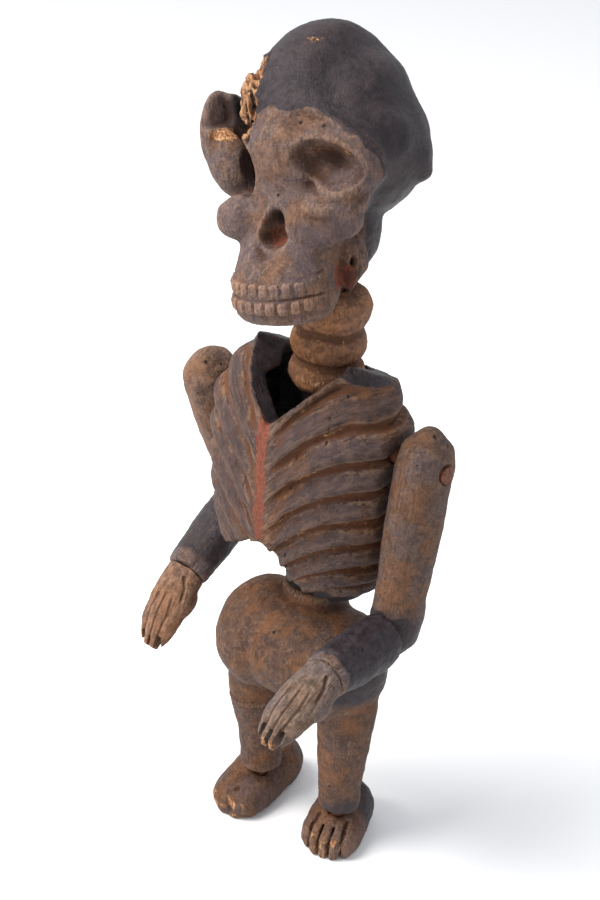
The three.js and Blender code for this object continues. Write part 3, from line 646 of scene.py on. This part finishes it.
        # The jaws: the bite, the gum line above it, and the groove and lip below. The teeth are set later.
        x, y, z = cut.at.T
        cut.calm(soft_step(334, 337, z) * soft_step(366, 362, z) * soft_step(-34, -42, y), 45)
        sweep = [1.4 * (i / 12 - 0.5) * 2 for i in range(13)]
        # The bite, the gum line and the groove below it carry painted shade
        cut.stroke([round_jaw(a, BITE_LEVEL, 1) for a in sweep], 1.3, 1.6, "hollow_shade", 1.2)
        cut.stroke([round_jaw(a, 354.4 + 0.7 * math.cos(a * 9)) for a in sweep], 2.4, 0.9, "hollow_shade", 0.5)
        cut.stroke([round_jaw(a, 336.4, 1) for a in sweep], 1.6, 1.3, "hollow_shade", 0.9)
        cut.stroke([round_jaw(a, 334.0) for a in sweep], 2.2, -0.9)
        cut.turn_out()
        # Hollow between the jaw's corner and the cheek, red inside, with near black painted shade deep in it
        for side in (1, -1):
            cut.push((side * 27, -25, 350), (6, 9, 8), (side * -4, 2, 0))
            cut.stroke([(side * 31, -24, 361), (side * 28, -20, 357), (side * 23, -18, 349)], 2.0, 4.5, "deep_shade")
        cut.turn_out()
        x, y, z = cut.at.T
        # Where the dark patina ends: above the brow, behind the temples, and under the back of the head
        wave = lumps(cut.at, 11, 3.1, 3) * 3.0
        brow_line = 428 - 0.012 * (x - 6) ** 2
        above = (z - brow_line + wave) / 4
        edge = (y - (-30 + (425 - z) * 0.42) + wave) / 4
        beside = np.where(z < 428, edge, above) - 0.2 * np.maximum(30 - np.abs(x), 0)
        lower = soft_step(-1, 1, np.where(z > 372, beside, (y + 4) / 4))
        cap_mask = np.maximum(soft_step(-1, 1, above), lower)
        broken_side = soft_step(434, 439, z + wave) + soft_step(-10, -4, y)
        cut.tint("stain", np.where(x < -27, broken_side * (z > 380), cap_mask))
        # Painted shade deep in the near socket and over its inner part
        cut.tint("deep_shade", 0.6 * cut.near((27, -20, 405), (7, 6, 6)))
        cut.tint("hollow_shade", 0.6 * cut.near((29, -28, 403), (12, 8, 8)))
        cut.tint("raw", 0.66 * cut.near((36, -26, 408), (5, 6, 4)))
        greyed = 1.1 * cut.near((30, -42, 374), (12, 12, 9)) + 0.9 * cut.near((10, -50, 388), (9, 9, 7))
        cut.tint("ridge", greyed)
        cut.tint("red", 0.85 * cut.near((3, -44, 371), (6, 8, 7)))
        # Near black painted shade inside the nose
        cut.tint("deep_shade", 1.0 * cut.near((3, -37, 379), (4, 5, 5)))
        for side in (1, -1):
            cut.tint("red", 1.1 * cut.near((side * 25, -26, 348), (4.5, 8, 9)))
            # Painted shade deeper in each jaw hollow, behind the red
            cut.tint("deep_shade", 0.55 * cut.near((side * 24, -22, 345), (5, 6, 9)))
        cut.tint("raw", 0.7 * cut.near((30, -10, 356), (3, 4, 7)))
        # The broken brow: raw fibrous wood with painted shade between its fibres, a cleft and the far socket's
        # slit painted near black as shade, and a bright ledge
        torn = soft_step(-31, -28, x) * soft_step(-11, -14.6, x) * soft_step(-52, -46, y) * soft_step(-8, -14, y)
        torn *= soft_step(411, 415, z) * soft_step(452, 447, z)
        cut.tint("raw", 0.62 * torn)
        cut.tint("raw", 1.1 * cut.near((-32, -27, 414), (16, 12, 3.4)))
        fibres = lumps(cut.at, (2.4, 2.4, 9), 8.2, 3)
        # Painted shade between the raised fibres
        cut.tint("deep_shade", 0.85 * torn * soft_step(0.1, -0.3, fibres))
        cut.raise_by(torn * 2.6 * fibres)
        # Near black painted shade in the cleft and in the far socket's slit
        cut.tint("deep_shade", 1.4 * cut.near((-36, -15, 427), (5, 5, 11)))
        cut.tint("deep_shade", 1.6 * cut.near((-19, -22, 400), (6, 10, 12)))
        # Chips in the cap
        cut.tint("raw", 0.75 * cut.near((11, -9, 456), (9, 7, 5)) * (0.6 + 0.6 * lumps(cut.at, 3, 9.4, 2)))
        chips = (
            ((40, -6, 434), (42, -3, 430)),
            ((44, 0, 424), (45, 2, 414)),
            ((33, -2, 447), (35, 1, 445)),
        )
        for path in chips:
            cut.stroke(path, 1.5, 0.5, "raw", 0.9)
        cut.finish(rough=0.12, facets=0.22, seed=2.0)
        wood = aged_wood("skull_patina", tuple(tones.bone), tones, grey=0.6, warmth=0.35, streaks=0.35, pits=0.4)
        place(skull, "head", ["skull"], wood)
        return {"FINISHED"}


class FIGURE_OT_teeth(bpy.types.Operator):
    """Set the two rows of teeth in the skull's jaws"""

    bl_idname = "figure.teeth"
    bl_label = "Set the teeth"

    def execute(self, context):
        sizes, tones = context.scene.figure_carving, context.scene.figure_tones
        row = []
        for level, half_width, half_depth, shift, halves in TEETH_ROWS:
            for i in range(-6, 5):
                angle = (i + shift) * TOOTH_ANGLE
                uneven = noise.noise(Vector((i * 3.1, level, 0)))
                depth = JAW_MIDDLE - half_depth * math.cos(angle)
                middle = (half_width * math.sin(angle), depth, level + 0.7 * uneven)
                turn = (14 * uneven, 12 * uneven, math.degrees(angle))
                row.append(block(HEAD, middle, halves, turn, 0.55))
        teeth = row.pop()
        teeth.name = "carved_teeth"
        teeth.data.name = "carved_teeth"
        join(teeth, row)
        remesh(teeth, sizes.hand_step, 7)
        cut = Carving(teeth, HEAD)
        cut.tint("wear", 0.7 * soft_step(0.0, 0.5, -cut.out[:, 1]))
        cut.finish(rough=0.35, facets=0.15, seed=14.0, rounds=14)
        wood = aged_wood(
            "teeth_wood", shade(tuple(tones.bone), 1.5), tones, grey=0.5, warmth=0.3, streaks=0.3, pits=0.8)
        place(teeth, "head", ["skull"], wood)
        return {"FINISHED"}


class FIGURE_OT_neck(bpy.types.Operator):
    """Carve the three rings of the neck"""

    bl_idname = "figure.neck"
    bl_label = "Carve the neck"

    def execute(self, context):
        sizes, tones = context.scene.figure_carving, context.scene.figure_tones
        neck = solid_copy("neck", "carved_neck")
        remesh(neck, sizes.limb_step, 30)
        cut = Carving(neck, BODY)
        cut.raise_by(0.6 * lumps(cut.at, (14, 14, 8), 4.4, 2))
        x, y, z = cut.at.T
        cut.tint("stain", 0.42 * soft_step(8, 20, x + 8 * lumps(cut.at, 10, 1.2, 2)))
        cut.tint("raw", 0.8 * cut.near((6, -24, 292), (9, 8, 4.5)) * (0.75 + 0.5 * lumps(cut.at, 3, 2.2, 2)))
        for level in (298, 315):
            # Painted shade in the ring grooves
            cut.tint("hollow_shade", 1.1 * soft_step(4.2, 0.6, np.abs(z - level - 1.5 * lumps(cut.at, 15, 7.3, 1))))
            bare = 0.6 * soft_step(3.4, 0.6, np.abs(z - level + 2.5))
            cut.tint("raw", bare * (0.6 + 0.7 * lumps(cut.at, 6, 3.3, 2)))
        cut.finish(rough=0.14, facets=0.4, seed=3.0)
        warm = mixed(tuple(tones.body), tone(172, 116, 74), 0.5)
        wood = aged_wood("neck_wood", warm, tones, grey=0.3, warmth=0.6, streaks=0.4)
        place(neck, "head", ["neck"], wood)
        return {"FINISHED"}


class FIGURE_OT_ribcage(bpy.types.Operator):
    """Carve the chest, hollowed out, with its swept ribs and painted breastbone"""

    bl_idname = "figure.ribcage"
    bl_label = "Carve the chest"

    def execute(self, context):
        sizes, tones = context.scene.figure_carving, context.scene.figure_tones
        chest = solid_copy("ribcage", "carved_chest")
        remesh(chest, sizes.chest_step, 7)
        cut = Carving(chest, BODY)
        x, y, z = cut.at.T
        depth = y - CHEST_MIDDLE
        turn = np.arctan2(x, -depth)
        angle = np.abs(turn)
        slope = RIBS["rise"] * (np.sin(np.minimum(angle * RIBS["sweep"], math.pi / 2)) - 1)
        climb = np.maximum(z - RIBS["lowest"] - slope + 1.3 * lumps(cut.at, (22, 22, 13), 5.1, 2), 0)
        pitch, growth = RIBS["pitch"], RIBS["growth"]
        row = (np.sqrt(pitch ** 2 + 4 * growth * climb) - pitch) / (2 * growth)
        phase = row - np.floor(row)
        cut.grain = np.stack([row * 12, np.hypot(x, depth), turn * 50], 1)  # runs along the ribs
        outward = cut.out[:, 0] * x + cut.out[:, 1] * depth > 0
        size = np.hypot(x / CHEST_RADII[0], depth / CHEST_RADII[1])
        shell = outward * soft_step(0.78, 0.86, size) * soft_step(0.05, 0.3, angle)
        groove = soft_step(0.26, 0.46, phase) * soft_step(0.66, 0.5, phase)
        crest = soft_step(0.62, 0.8, phase) + soft_step(0.3, 0.12, phase)
        line = soft_step(0.07, 0.0, np.abs(phase - 0.5 + 0.06 * lumps(cut.at, 9, 3.7, 2)))
        cut.raise_by(shell * (-groove * sizes.rib_depth * 1000 + 0.4 * crest - 0.5 * line))
        # Painted shade in the rib grooves, a warm brown that is partly the grooves' own colour, and near black
        # painted shade in patches along their bottoms
        cut.tint("deep_shade", 0.7 * shell * line * soft_step(-0.25, 0.2, lumps(cut.at, 14, 2.9, 2)))
        cut.tint("hollow_shade", 0.95 * shell * groove)
        cut.tint("ridge", shell * crest)
        cut.turn_out()
        # Paint left down the breastbone; inside the chest, near black painted shade low down and the cap's dark
        # colour on all the inner walls
        strip = soft_step(4.0, 2.0, np.abs(x + 0.6 + 1.6 * lumps(cut.at, 11, 6.6, 2))) * (y < -38) * outward
        cut.tint("red", strip * soft_step(207, 216, z))
        cut.tint("red", 0.62 * cut.near((-3, -46, 280), (7, 7, 14)) * outward)
        inner = np.clip(soft_step(0.86, 0.72, size) + ~outward, 0, 1)
        cut.tint("deep_shade", inner * soft_step(284, 262, z) * 0.9)
        cut.tint("stain", inner)
        # Drying cracks that run down the chest, with near black painted shade in them
        cracks = (
            ((29, -41, 296), (31, -43, 280), (28, -44, 262)),
            ((15, -48, 279), (17, -49, 262), (15, -49, 246)),
            ((40, -33, 268), (38, -36, 250), (41, -36, 236)),
            ((-24, -44, 282), (-22, -46, 264), (-25, -46, 250)),
        )
        for path in cracks:
            cut.stroke(path, 0.9, 1.3, "deep_shade", 1.2)
        cut.tint("raw", 0.5 * shell * groove * soft_step(0.2, 0.7, lumps(cut.at, 17, 7.7, 2) + 0.35))
        cut.tint("wear", 0.75 * shell * crest * soft_step(232, 205, z))
        cut.finish(rough=0.16, facets=0.35, seed=4.0)
        # The painted shade in the rib grooves is a warm brown
        wood = aged_wood(
            "carved_wood", tuple(tones.body), tones, grey=0.4, warmth=0.6, streaks=0.75,
            groove=tone(92, 54, 30), bump=1.4)
        place(chest, "trunk", ["ribcage"], wood)
        return {"FINISHED"}


class FIGURE_OT_hips(bpy.types.Operator):
    """Carve the hips, the waist and the two legs"""

    bl_idname = "figure.hips"
    bl_label = "Carve the hips and legs"

    def execute(self, context):
        sizes, tones = context.scene.figure_carving, context.scene.figure_tones
        hips = solid_copy("hips_and_legs", "carved_hips_and_legs")
        remesh(hips, sizes.hips_step, 40)
        cut = Carving(hips, BODY)
        x, y, z = cut.at.T
        cut.raise_by(0.9 * lumps(cut.at, 24, 6.1, 2))
        cut.stroke([(-44, -14, 78), (-30, -19, 77), (-18, -12, 79)], 2.5, -0.9)
        cut.stroke([(22, -30, 152), (27, -28, 146), (32, -26, 138)], 1.5, -0.7, "raw", 0.9)
        cut.stroke([(32, -26, 138), (30, -29, 131), (24, -33, 124)], 1.3, -0.5, "raw", 0.8)
        on_hip = soft_step(18, 42, x + 8 * lumps(cut.at, 18, 1.9, 2)) * soft_step(100, 120, z)
        on_shin = soft_step(52, 30, z + 6 * lumps(cut.at, 9, 2.9, 2)) * soft_step(10, 30, x)
        cut.tint("stain", 0.62 * on_hip)
        cut.tint("stain", 0.6 * on_shin)
        cut.tint("raw", 0.5 * soft_step(152, 160, z) * (0.6 + 0.6 * lumps(cut.at, 6, 4.9, 2)))
        cut.finish(rough=0.12, facets=0.3, seed=5.0)
        wood = aged_wood("limb_wood", tuple(tones.limb), tones, grey=0.2, warmth=0.7, streaks=0.4, bump=0.8)
        place(hips, "trunk", ["hips_and_legs"], wood)
        return {"FINISHED"}


class FIGURE_OT_feet(bpy.types.Operator):
    """Carve the two feet: one with toes, one worn smooth like a shoe"""

    bl_idname = "figure.feet"
    bl_label = "Carve the feet"

    def execute(self, context):
        sizes, tones = context.scene.figure_carving, context.scene.figure_tones
        wood = aged_wood(
            "foot_wood", shade(tuple(tones.limb), 1.3), tones, grey=0.5, warmth=0.4, streaks=0.4, bump=1.2)
        # How far each foot is from the middle and in depth, its length, how far it toes out, and its toes
        places = {"left": (25, 11, 54, 15, 5), "right": (33, 11, 68, -3, 2)}
        for side, (off, middle, length, toe_out, toes) in places.items():
            foot = solid_copy(f"{side}_foot", f"carved_{side}_foot")
            way = 1 if side == "left" else -1
            space = BODY @ turned((way * off, middle, 0), (0, 0, way * toe_out))
            tip = -length / 2
            if toes == 2:
                join(foot, [lump(space, (across, tip + 10, 9), (8, 9.6, 8.8)) for across in (-7, 0, 7)])
                remesh(foot, MELT_STEPS["foot"], 8)
            remesh(foot, sizes.limb_step, 40)
            cut = Carving(foot, space)
            x, y, z = cut.at.T
            above = soft_step(2.5, 5, z)
            if toes > 2:
                for i in range(1, toes):
                    across = (i / toes - 0.5) * 31
                    back = tip + 17 - abs(across) * 0.35
                    gap = cut.off_path([(across, tip - 4, 4), (across, tip + 3, 12), (across * 0.95, back, 20)])
                    part = 1 - soft_step(0, 2.1, gap)
                    cut.at -= cut.out * (2.4 * part * above)[:, None]
                    # Painted shade between the toes
                    cut.tint("hollow_shade", part)
                for i in range(toes):
                    across = ((i + 0.5) / toes - 0.5) * 31
                    cut.swell((across, tip + 4, 11), (3.2, 6, 6), 1.3)
                # A groove across the top of the foot, with painted shade in it
                cut.stroke([(-14, -3, 24), (0, -9, 25), (14, -3, 24)], 3.5, 1.2, "deep_shade", 0.6)
                cut.tint("stain", 0.6 * soft_step(-14, 2, y))
                cut.tint("wear", 0.8 * soft_step(-6, -20, y))
            else:
                part = 1 - soft_step(0, 3.0, cut.off_path([(2, tip - 3, 2), (2, tip + 1, 10), (2, tip + 7, 17)]))
                cut.at -= cut.out * (1.1 * part * above)[:, None]
            chipped = 0.66 * soft_step(tip + 7, tip + 1, y) * soft_step(22, 12, z)
            cut.tint("raw", chipped * (0.75 + 0.6 * lumps(cut.at, 6, 1.4, 2)))
            cut.finish(rough=0.12, facets=0.4, seed=6.0 + way)
            place(foot, "trunk", [f"{side}_foot"], wood)
        return {"FINISHED"}


class FIGURE_OT_arms(bpy.types.Operator):
    """Carve both arms: upper arms, stained forearms and hands with grooved fingers"""

    bl_idname = "figure.arms"
    bl_label = "Carve the arms"

    def execute(self, context):
        sizes, tones = context.scene.figure_carving, context.scene.figure_tones
        # The near upper arm's wood is made darker as painted shade, and the far one's lighter as painted light
        upper_woods = {
            "left": aged_wood(
                "shaded_near_arm_wood", shade(tuple(tones.arm), 0.86), tones, grey=0.5, warmth=0.5, streaks=0.4,
                pits=0.9, bump=1.3),
            "right": aged_wood(
                "lit_far_arm_wood", shade(tuple(tones.arm), 1.3), tones, grey=0.3, warmth=0.6, streaks=0.3, pits=0.9),
        }
        smoky = mixed(tuple(tones.arm), tone(80, 68, 66), 0.6)
        fore_wood = aged_wood("forearm_wood", smoky, tones, grey=0.8, warmth=0.15, streaks=0.5)
        hand_woods = {
            "left": aged_wood(
                "worn_wood", tuple(tones.hand), tones, grey=0.6, warmth=0.2, streaks=0.6, pits=0.7),
            "right": aged_wood(
                "warm_worn_wood", mixed(tuple(tones.hand), tuple(tones.raw), 0.3), tones, grey=0.2, warmth=0.6,
                streaks=0.6, pits=0.5),
        }
        # How strongly the elbow end is stained, how much darker the side next to the body is made, and how
        # strongly the wrist end is stained
        stains = {"left": (1.0, 0.5, 0.95), "right": (0.5, 0.4, 0.55)}
        for side in ("left", "right"):
            way = 1 if side == "left" else -1
            spaces = arm_spaces(side)
            at_elbow, inside, at_wrist = stains[side]
            upper = solid_copy(f"{side}_upper_arm", f"carved_{side}_upper_arm")
            remesh(upper, MELT_STEPS["upper_arm"], 14)
            remesh(upper, sizes.limb_step, 12)
            cut = Carving(upper, spaces["upper_arm"])
            x, y, z = cut.at.T
            cut.raise_by(0.7 * lumps(cut.at, 18, 2.2 + way, 2))
            cut.tint("stain", at_elbow * soft_step(-76, -84, z + 0.25 * y + 3 * lumps(cut.at, 9, 3.9, 2)))
            cut.tint("stain", inside * soft_step(-6, -13, way * x))
            cut.tint("raw", 0.75 * cut.near((way * 14, 0, 2), (3, 6.5, 7.5)))
            cut.finish(rough=0.14, facets=0.3, seed=7.0 + way)
            place(upper, f"{side}_arm", [f"{side}_upper_arm"], upper_woods[side])

            fore = solid_copy(f"{side}_forearm", f"carved_{side}_forearm")
            remesh(fore, MELT_STEPS["forearm"], 6)
            remesh(fore, sizes.limb_step, 10)
            cut = Carving(fore, spaces["forearm"])
            x, y, z = cut.at.T
            cut.raise_by(0.6 * lumps(cut.at, 14, 5.2 + way, 2))
            cut.stroke([(0, -13, -53), (12, 0, -52), (0, 13, -53), (-12, 0, -52), (0, -13, -53)], 4, -0.9)
            cut.tint("stain", at_wrist * soft_step(-62, -50, z + 2 * lumps(cut.at, 5, 4.1, 2)))
            cut.finish(rough=0.16, facets=0.35, seed=9.0 + way)
            place(fore, f"{side}_arm", [f"{side}_forearm"], fore_wood)

            hand = solid_copy(f"{side}_hand", f"carved_{side}_hand")
            remesh(hand, sizes.hand_step, 30)
            cut = Carving(hand, spaces["hand"])
            x, y, z = cut.at.T
            for i in range(1, 4):
                spread = 24 * np.interp(-z, [12, 26, 48], [0.66, 1.0, 0.66])
                across = (i / 4 - 0.5) * spread + 0.6 * lumps(cut.at, (9, 9, 22), i + way, 1)
                gap = soft_step(1.1, 0.2, np.abs(x - across)) * soft_step(-12, -20, z)
                cut.raise_by(-0.8 * gap)
                # Painted shade between the fingers
                cut.tint("hollow_shade", 0.7 * gap)
            cut.turn_out()
            x, y, z = cut.at.T
            cut.raise_by(0.45 * lumps(cut.at, 10, 6.2 + way, 2))
            # The thumb's groove, with painted shade in it
            cut.stroke([(6, -8, -4), (9, -7, -10), (10, -3, -22)], 1.6, 1.4, "hollow_shade")
            cut.tint("raw", 0.8 * soft_step(-42, -46, z + 1.5 * lumps(cut.at, 3, 7.1, 2)))
            cut.finish(rough=0.14, facets=0.3, seed=11.0 + way, rounds=20)
            place(hand, f"{side}_arm", [f"{side}_hand"], hand_woods[side])
        return {"FINISHED"}


class FIGURE_OT_pegs(bpy.types.Operator):
    """Shape the pegs that hold the pieces together"""

    bl_idname = "figure.pegs"
    bl_label = "Shape the pegs"

    def execute(self, context):
        sizes, tones = context.scene.figure_carving, context.scene.figure_tones
        reddish = shade(mixed(tuple(tones.paint), tuple(tones.raw), 0.4), 0.6)
        wood = aged_wood("peg_wood", reddish, tones, grey=0.2, warmth=0.5, streaks=0.6)
        homes = {"skull_peg": "head", "waist_peg": "trunk"}
        for side in ("left", "right"):
            homes.update({f"{side}_ankle_peg": "trunk", f"{side}_shoulder_peg": "trunk",
                          f"{side}_elbow_peg": f"{side}_arm", f"{side}_wrist_peg": f"{side}_arm"})
        for node, body in homes.items():
            peg = solid_copy(node, f"whittled_{node}")
            remesh(peg, sizes.peg_step, 4)
            cut = Carving(peg, BODY)
            cut.finish(rough=0.05, facets=0.08, seed=13.0, rounds=8)
            place(peg, body, [node], wood)
        return {"FINISHED"}


class FIGURE_OT_stage(bpy.types.Operator):
    """Set the pale floor, the soft light and the camera"""

    bl_idname = "figure.stage"
    bl_label = "Set the stage"

    def execute(self, context):
        look = context.scene.figure_stage
        pick()
        bpy.ops.mesh.primitive_plane_add(size=14)
        floor = context.object
        floor.name = "floor"
        bench = Bench("floor_paint")
        where = bench.add("ShaderNodeTexCoord", output="Object")
        haze = bench.clouds(where, 3.0, 3, 0.5)
        colour = bench.blend(haze * 0.2, tuple(look.floor), shade(tuple(look.floor), 0.985))
        floor.data.materials.append(bench.surface(colour, 0.9, haze * 0.01, specular=0.1))

        world = bpy.data.worlds.new("soft_daylight")
        world.use_nodes = True
        sky = next(node for node in world.node_tree.nodes if node.type == "BACKGROUND")
        sky.inputs["Color"].default_value = SKY_COLOUR
        sky.inputs["Strength"].default_value = look.sky
        context.scene.world = world

        lamp = bpy.data.lights.new("window", "AREA")
        lamp.shape = "DISK"
        lamp.size = WINDOW["size"]
        lamp.energy = look.lamp
        lamp.color = WINDOW["colour"]
        window = bpy.data.objects.new("window", lamp)
        context.scene.collection.objects.link(window)
        way = Vector(WINDOW["way"]).normalized()
        window.location = BODY @ Vector(WINDOW["aim"]) + way * WINDOW["away"]
        window.rotation_euler = (-way).to_track_quat("-Z", "Y").to_euler()

        azimuth, elevation, roll = (math.radians(CAMERA[key]) for key in ("azimuth", "elevation", "roll"))
        level = math.cos(elevation)
        away = Vector((math.sin(azimuth) * level, -math.cos(azimuth) * level, math.sin(elevation)))
        data = bpy.data.cameras.new("camera")
        data.sensor_fit = "VERTICAL"
        data.sensor_height = 36
        data.lens = CAMERA["lens"]
        camera = bpy.data.objects.new("camera", data)
        context.scene.collection.objects.link(camera)
        camera.location = BODY @ Vector(CAMERA["aim"]) + away * CAMERA["away"]
        camera.rotation_mode = "QUATERNION"
        rolled = Matrix.Rotation(roll, 3, "Z").to_quaternion()
        camera.rotation_quaternion = (-away).to_track_quat("-Z", "Y") @ rolled
        context.scene.camera = camera
        context.scene.view_settings.view_transform = "Standard"
        return {"FINISHED"}


class FIGURE_PT_sidebar(bpy.types.Panel):
    """The figure's sizes, colours and pieces"""

    bl_idname = "FIGURE_PT_sidebar"
    bl_label = "Skeleton Figure"
    bl_space_type = "VIEW_3D"
    bl_region_type = "UI"
    bl_category = "Skeleton Figure"

    def draw(self, context):
        for group in (getattr(context.scene, name) for name in GROUPS):
            column = self.layout.column()
            for name in group.bl_rna.properties.keys():
                if name not in ("rna_type", "name"):
                    column.prop(group, name)
        for operator in OPERATORS:
            self.layout.operator(operator.bl_idname)


GROUPS = {"figure_carving": FigureCarving, "figure_tones": FigureTones, "figure_stage": FigureStage}
OPERATORS = (
    FIGURE_OT_skull, FIGURE_OT_teeth, FIGURE_OT_neck, FIGURE_OT_ribcage, FIGURE_OT_hips, FIGURE_OT_feet,
    FIGURE_OT_arms, FIGURE_OT_pegs, FIGURE_OT_stage,
)


def register():
    for group in (*GROUPS.values(), *OPERATORS, FIGURE_PT_sidebar):
        bpy.utils.register_class(group)
    for name, group in GROUPS.items():
        setattr(bpy.types.Scene, name, bpy.props.PointerProperty(type=group))


def unregister():
    for name in GROUPS:
        delattr(bpy.types.Scene, name)
    for group in reversed((*GROUPS.values(), *OPERATORS, FIGURE_PT_sidebar)):
        bpy.utils.unregister_class(group)


def main():
    register()
    bpy.ops.figure.skull()
    bpy.ops.figure.teeth()
    bpy.ops.figure.neck()
    bpy.ops.figure.ribcage()
    bpy.ops.figure.hips()
    bpy.ops.figure.feet()
    bpy.ops.figure.arms()
    bpy.ops.figure.pegs()
    bpy.ops.figure.stage()


if __name__ == "__main__":
    main()
